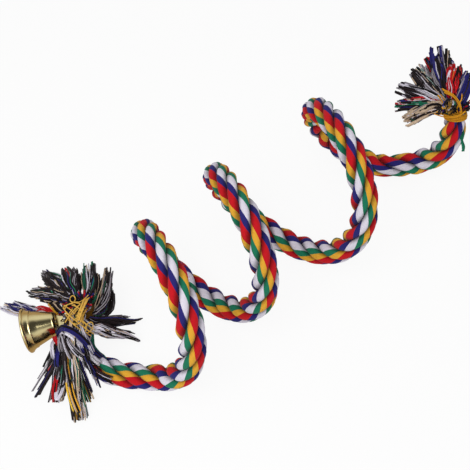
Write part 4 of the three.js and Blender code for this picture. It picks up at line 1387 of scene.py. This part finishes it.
def chain_frame():
    """The bell's turn (X side, Y top, Z back), its way back, and the places of the two hinges above it."""
    side = Vector(JOINTS["ring_lift"]["axis"]).normalized()
    top = Vector(JOINTS["bell_swing"]["axis"]).normalized()
    back = side.cross(top)
    turn = Matrix((side, top, back)).transposed().to_4x4()
    places = {name: Vector(JOINTS[name]["pos_m"]) for name in ("ring_lift", "bell_swing")}
    return turn, back, places


def select_only(piece):
    bpy.ops.object.select_all(action="DESELECT")
    piece.select_set(True)
    bpy.context.view_layer.objects.active = piece


def settle(piece, matrix):
    """Puts a piece that was made at the origin in its place, with the place in its mesh."""
    piece.data.transform(matrix)
    piece.data.update()


def apply_modifiers(piece):
    select_only(piece)
    for modifier in list(piece.modifiers):
        bpy.ops.object.modifier_apply(modifier=modifier.name)


def pick(piece, kind, chosen):
    """Selects some of the faces or edges of the active piece, and goes into edit mode."""
    bpy.ops.object.mode_set(mode="EDIT")
    bpy.ops.mesh.select_all(action="DESELECT")
    bpy.ops.object.mode_set(mode="OBJECT")
    for part in getattr(piece.data, kind):
        part.select = chosen(part)
    bpy.ops.object.mode_set(mode="EDIT")


def combine(piece, name, operation, other):
    """Adds a Boolean modifier that joins another piece to this one or cuts it out."""
    modifier = piece.modifiers.new(name, "BOOLEAN")
    modifier.operation = operation
    modifier.object = other
    modifier.solver = "EXACT"


EAR_HOLE_HEIGHT = 0.0303
EAR_HOLE = 0.0028
EAR_FOOT = 0.026
EAR_TOP = 0.0332
EAR_WIDTH = 0.012
EAR_TIP_WIDTH = 0.0056
EAR_THICKNESS = 0.0019
EAR_TIP_ROUNDING = 0.44
EAR_TIP_STEPS = 7
EAR_EDGE = 0.0003
EAR_EDGE_STEPS = 2
DRILL_SIDES = 32
DRILL_LENGTH = 0.01
UPRIGHT = 0.9
LEVEL_WITHIN = 0.0001
# Outside of the bell, from the rim to the crown: radius and height
BELL_PROFILE = (
    (0.0169, 0.0), (0.0177, 0.00005), (0.01815, 0.00045), (0.01825, 0.0011), (0.01805, 0.0018),
    (0.0176, 0.0022), (0.0173, 0.00235), (0.0167, 0.0031), (0.016, 0.0042), (0.0155, 0.0053),
    (0.0153, 0.006), (0.01535, 0.0064), (0.0152, 0.00675), (0.01485, 0.00695), (0.0146, 0.0072),
    (0.013, 0.0123), (0.0113, 0.0177), (0.00955, 0.0232), (0.00945, 0.0235), (0.0095, 0.0238),
    (0.0093, 0.0243), (0.0089, 0.0249), (0.008, 0.0257), (0.0064, 0.0264), (0.004, 0.02685),
    (0.001, 0.027),
)
BELL_SIDES = 96
BELL_SMOOTH_UNDER = math.radians(40)


class PERCH_OT_bell(bpy.types.Operator):
    """Spins the brass bell with its rim, shoulder and ear"""

    bl_idname = "perch.bell"
    bl_label = "Spin bell"

    def execute(self, context):
        settings = context.scene.perch_bell
        turn, back, places = chain_frame()
        mouth = places["bell_swing"] - back * EAR_HOLE_HEIGHT
        scale = settings.mouth / 2 / max(radius for radius, _ in BELL_PROFILE)
        bpy.ops.object.select_all(action="DESELECT")
        bpy.ops.mesh.primitive_circle_add(
            vertices=BELL_SIDES, radius=BELL_PROFILE[0][0] * scale, location=(0, 0, 0))
        bell = context.active_object
        bell.name = bell.data.name = "bell_brass"
        bpy.ops.object.mode_set(mode="EDIT")
        bpy.ops.mesh.select_all(action="SELECT")
        for (radius, height), (following, top) in zip(BELL_PROFILE, BELL_PROFILE[1:]):
            bpy.ops.mesh.extrude_region_move(TRANSFORM_OT_translate={"value": (0, 0, top - height)})
            share = following / radius
            bpy.ops.transform.resize(value=(share, share, 1), center_override=(0, 0, top))
        bpy.ops.mesh.merge(type="CENTER")
        bpy.ops.mesh.select_all(action="SELECT")
        bpy.ops.mesh.normals_make_consistent(inside=False)
        bpy.ops.object.mode_set(mode="OBJECT")
        wall = bell.modifiers.new("wall", "SOLIDIFY")
        wall.thickness = settings.wall
        wall.offset = -1
        apply_modifiers(bell)
        ear = self.ear(context)
        combine(bell, "ear", "UNION", ear)
        apply_modifiers(bell)
        bpy.data.objects.remove(ear)
        select_only(bell)
        bpy.ops.object.shade_smooth_by_angle(angle=BELL_SMOOTH_UNDER)
        settle(bell, Matrix.Translation(mouth) @ turn)
        brass = metal_finish("polished_brass", settings.brass, smooth=0.1, rough=0.26, scale=160)
        bell.data.materials.append(brass)
        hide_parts("bell_shell")
        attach(bell, "bell")
        return {"FINISHED"}

    def ear(self, context):
        """A flat lug, wide at the crown and round at the tip, with a hole for the ring."""
        tall = EAR_TOP - EAR_FOOT
        bpy.ops.object.select_all(action="DESELECT")
        bpy.ops.mesh.primitive_cube_add(
            size=1, location=(0, 0, EAR_FOOT + tall / 2), scale=(EAR_WIDTH, EAR_THICKNESS, tall))
        lug = context.active_object
        bpy.ops.object.transform_apply(location=True, rotation=True, scale=True)

        def across_tip(edge):
            ends = [lug.data.vertices[index].co for index in edge.vertices]
            level = all(end.z > EAR_TOP - LEVEL_WITHIN for end in ends)
            return level and abs(ends[0].y - ends[1].y) > EAR_THICKNESS / 2

        pick(lug, "polygons", lambda face: face.normal.z > UPRIGHT)
        bpy.ops.transform.resize(value=(EAR_TIP_WIDTH / EAR_WIDTH, 1, 1), center_override=(0, 0, EAR_TOP))
        pick(lug, "edges", across_tip)
        bpy.ops.mesh.bevel(offset=EAR_TIP_WIDTH * EAR_TIP_ROUNDING, segments=EAR_TIP_STEPS, affect="EDGES")
        bpy.ops.object.mode_set(mode="OBJECT")
        bpy.ops.object.select_all(action="DESELECT")
        bpy.ops.mesh.primitive_cylinder_add(
            vertices=DRILL_SIDES, radius=EAR_HOLE / 2, depth=DRILL_LENGTH,
            location=(0, 0, EAR_HOLE_HEIGHT), rotation=(math.pi / 2, 0, 0))
        drill = context.active_object
        combine(lug, "hole", "DIFFERENCE", drill)
        edge = lug.modifiers.new("edge", "BEVEL")
        edge.width = EAR_EDGE
        edge.segments = EAR_EDGE_STEPS
        edge.limit_method = "ANGLE"
        apply_modifiers(lug)
        bpy.data.objects.remove(drill)
        return lug


RING_RADIUS = 0.0035
RING_WIRE_RADIUS = 0.0009
RING_STEPS = 72
RING_SIDES = 20
RING_SLIT = math.radians(6)
RING_SMOOTH_UNDER = math.radians(50)


class PERCH_OT_ring(bpy.types.Operator):
    """Bends the steel ring that carries the bell"""

    bl_idname = "perch.ring"
    bl_label = "Bend ring"

    def execute(self, context):
        settings = context.scene.perch_bell
        turn, _, places = chain_frame()
        middle = (places["ring_lift"] + places["bell_swing"]) / 2
        bpy.ops.object.select_all(action="DESELECT")
        bpy.ops.mesh.primitive_torus_add(
            major_radius=RING_RADIUS, minor_radius=RING_WIRE_RADIUS,
            major_segments=RING_STEPS, minor_segments=RING_SIDES, location=(0, 0, 0))
        ring = context.active_object
        ring.name = ring.data.name = "ring_steel"

        def in_slit(face):
            return abs(math.atan2(face.center.y, face.center.x) - math.pi / 2) < RING_SLIT / 2

        pick(ring, "polygons", in_slit)
        bpy.ops.mesh.delete(type="FACE")
        bpy.ops.mesh.select_all(action="SELECT")
        bpy.ops.mesh.fill_holes(sides=0)
        bpy.ops.object.mode_set(mode="OBJECT")
        bpy.ops.object.shade_smooth_by_angle(angle=RING_SMOOTH_UNDER)
        settle(ring, Matrix.Translation(middle) @ turn @ Matrix.Rotation(math.pi / 2, 4, "Y"))
        steel = metal_finish("plated_steel", settings.steel, smooth=0.18, rough=0.36, scale=400)
        ring.data.materials.append(steel)
        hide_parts("bell_ring")
        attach(ring, "ring")
        return {"FINISHED"}


class PERCH_OT_clapper(bpy.types.Operator):
    """Gives the clapper and its staple their steel"""

    bl_idname = "perch.clapper"
    bl_label = "Finish clapper"

    def execute(self, context):
        colour = context.scene.perch_bell.steel
        steel = metal_finish("drawn_steel", colour, smooth=0.25, rough=0.45, scale=300)
        for node in ("clapper", "clapper_staple"):
            mesh = frame["nodes"][node].data
            mesh.materials.clear()
            mesh.materials.append(steel)
        return {"FINISHED"}


# Stage


CAMERA_SENSOR = 36
CAMERA_LENS = 63.04
TABLE_SIZE = 6
TABLE_DROP = 0.0003
TABLE_ROUGHNESS = 0.8
TABLE_GLOW = 0.9
LAMP_PLACE = Vector((-0.45, -0.15, 0.85))
LAMP_AIM = Vector((0, 0, 0.03))
LAMP_SIZE = 0.7
# What metal mirrors: the way to the dark ceiling and how it fades into the walls, and the tones low down
CEILING = (0.42, -0.28, 0.86)
CEILING_FADE = {"from_low": 0.7, "from_high": 0.93, "to_low": 0.95, "to_high": 0.06}
WALL_FADE = {"from_low": -0.1, "from_high": 0.55, "to_low": 1.0, "to_high": 0.0}
MIRRORED_TABLE = (0.5, 0.34, 0.18)
MIRRORED_WALL = (0.5, 0.36, 0.22)


def mirrored_rays(tree):
    """1 for rays that metal mirrors."""
    path = add_node(tree, "ShaderNodeLightPath")
    return sums(tree, "MAXIMUM", path.outputs["Is Glossy Ray"], path.outputs["Is Transmission Ray"])


def two_tones(tree, factor, tone, target):
    """White where the factor is 0, and the tone where it is 1."""
    ramp = add_node(tree, "ShaderNodeValToRGB")
    ramp.color_ramp.elements[0].color = (1, 1, 1, 1)
    ramp.color_ramp.elements[1].color = (*tone, 1)
    tree.links.new(factor, ramp.inputs[0])
    tree.links.new(ramp.outputs[0], target)


def seen_rays(tree):
    """1 for rays from the camera and rays that metal mirrors, 0 for light on the object."""
    path = add_node(tree, "ShaderNodeLightPath")
    return sums(tree, "MAXIMUM", path.outputs["Is Camera Ray"], mirrored_rays(tree))


def table_finish(settings):
    """White to the camera, a warm tone to metal, and plain white under the light."""
    material, tree, shader = new_finish("white_table")
    shader.inputs["Base Color"].default_value = (*settings.floor, 1)
    shader.inputs["Roughness"].default_value = TABLE_ROUGHNESS
    glow = add_node(tree, "ShaderNodeEmission")
    two_tones(tree, mirrored_rays(tree), MIRRORED_TABLE, glow.inputs["Color"])
    blend = add_node(tree, "ShaderNodeMixShader")
    tree.links.new(sums(tree, "MULTIPLY", seen_rays(tree), TABLE_GLOW), blend.inputs[0])
    tree.links.new(shader.outputs[0], blend.inputs[1])
    tree.links.new(glow.outputs[0], blend.inputs[2])
    tree.links.new(blend.outputs[0], tree.nodes["Material Output"].inputs[0])
    return material


def white_room(settings):
    """White to the camera, an even light on the object, and walls and a dark ceiling to metal."""
    world = bpy.data.worlds.new("white_room")
    world.use_nodes = True
    tree = world.node_tree
    to_camera = add_node(tree, "ShaderNodeLightPath").outputs["Is Camera Ray"]
    mirrored = mirrored_rays(tree)
    directions = add_node(tree, "ShaderNodeTexCoord").outputs["Generated"]
    ceiling = add_node(tree, "ShaderNodeVectorMath", operation="DOT_PRODUCT")
    ceiling.inputs[1].default_value = CEILING
    tree.links.new(directions, ceiling.inputs[0])
    walls = map_range(tree, ceiling.outputs["Value"], interpolation="SMOOTHSTEP", **CEILING_FADE)
    plain = sums(tree, "SUBTRACT", sums(tree, "SUBTRACT", 1.0, to_camera), mirrored)
    strength = sums(tree, "ADD", sums(tree, "MULTIPLY", plain, settings.sky), to_camera)
    strength = sums(tree, "ADD", strength, sums(tree, "MULTIPLY", mirrored, walls))
    split = add_node(tree, "ShaderNodeSeparateXYZ")
    tree.links.new(directions, split.inputs[0])
    low = map_range(tree, split.outputs["Z"], interpolation="SMOOTHSTEP", **WALL_FADE)
    background = tree.nodes["Background"]
    two_tones(tree, sums(tree, "MULTIPLY", low, mirrored), MIRRORED_WALL, background.inputs[0])
    tree.links.new(strength, background.inputs[1])
    return world


class PERCH_OT_camera(bpy.types.Operator):
    """Sets the camera over the lower end of the coil"""

    bl_idname = "perch.camera"
    bl_label = "Set camera"

    def execute(self, context):
        camera = bpy.data.cameras.new("camera")
        camera.sensor_width = CAMERA_SENSOR
        camera.lens = CAMERA_LENS
        view = bpy.data.objects.new("camera", camera)
        view.location = CAMERA_PLACE + ORIGIN_SHIFT
        view.rotation_mode = "QUATERNION"
        view.rotation_quaternion = CAMERA_AIM.to_track_quat("-Z", "Y")
        context.scene.collection.objects.link(view)
        context.scene.camera = view
        return {"FINISHED"}


class PERCH_OT_stage(bpy.types.Operator):
    """Lays the white table and hangs the soft lights"""

    bl_idname = "perch.stage"
    bl_label = "Set stage"

    def execute(self, context):
        settings = context.scene.perch_stage
        bpy.ops.object.select_all(action="DESELECT")
        bpy.ops.mesh.primitive_plane_add(size=TABLE_SIZE, location=(0, 0, -TABLE_DROP))
        table = context.active_object
        table.name = table.data.name = "table"
        table.data.materials.append(table_finish(settings))
        context.scene.world = white_room(settings)
        lamp = bpy.data.lights.new("soft_lamp", "AREA")
        lamp.energy = settings.key
        lamp.size = LAMP_SIZE
        light = bpy.data.objects.new("soft_lamp", lamp)
        light.location = LAMP_PLACE
        light.rotation_mode = "QUATERNION"
        light.rotation_quaternion = (LAMP_AIM - LAMP_PLACE).to_track_quat("-Z", "Y")
        context.scene.collection.objects.link(light)
        context.scene.view_settings.view_transform = "Standard"
        return {"FINISHED"}


STEPS = (
    PERCH_OT_camera, PERCH_OT_rope, PERCH_OT_tassels, PERCH_OT_bindings, PERCH_OT_knot,
    PERCH_OT_ring, PERCH_OT_bell, PERCH_OT_clapper, PERCH_OT_stage,
)


class PERCH_PT_panel(bpy.types.Panel):
    """Lists the steps that make the perch"""

    bl_idname = "PERCH_PT_panel"
    bl_label = "Spiral rope perch"
    bl_space_type = "VIEW_3D"
    bl_region_type = "UI"
    bl_category = "Perch"

    def draw(self, context):
        for group in ("perch_rope", "perch_tassel", "perch_bell", "perch_stage"):
            box = self.layout.box()
            settings = getattr(context.scene, group)
            for name in settings.__annotations__:
                box.prop(settings, name)
        for step in STEPS:
            self.layout.operator(step.bl_idname)


GROUPS = {
    "perch_rope": RopeSettings,
    "perch_tassel": TasselSettings,
    "perch_bell": BellSettings,
    "perch_stage": StageSettings,
}


def register():
    for name, group in GROUPS.items():
        bpy.utils.register_class(group)
        setattr(bpy.types.Scene, name, PointerProperty(type=group))
    for step in (*STEPS, PERCH_PT_panel):
        bpy.utils.register_class(step)


def unregister():
    for step in reversed((*STEPS, PERCH_PT_panel)):
        bpy.utils.unregister_class(step)
    for name, group in reversed(GROUPS.items()):
        delattr(bpy.types.Scene, name)
        bpy.utils.unregister_class(group)


def main():
    register()
    for step in STEPS:
        family, name = step.bl_idname.split(".")
        getattr(getattr(bpy.ops, family), name)()
    bpy.context.view_layer.update()


if __name__ == "__main__":
    main()
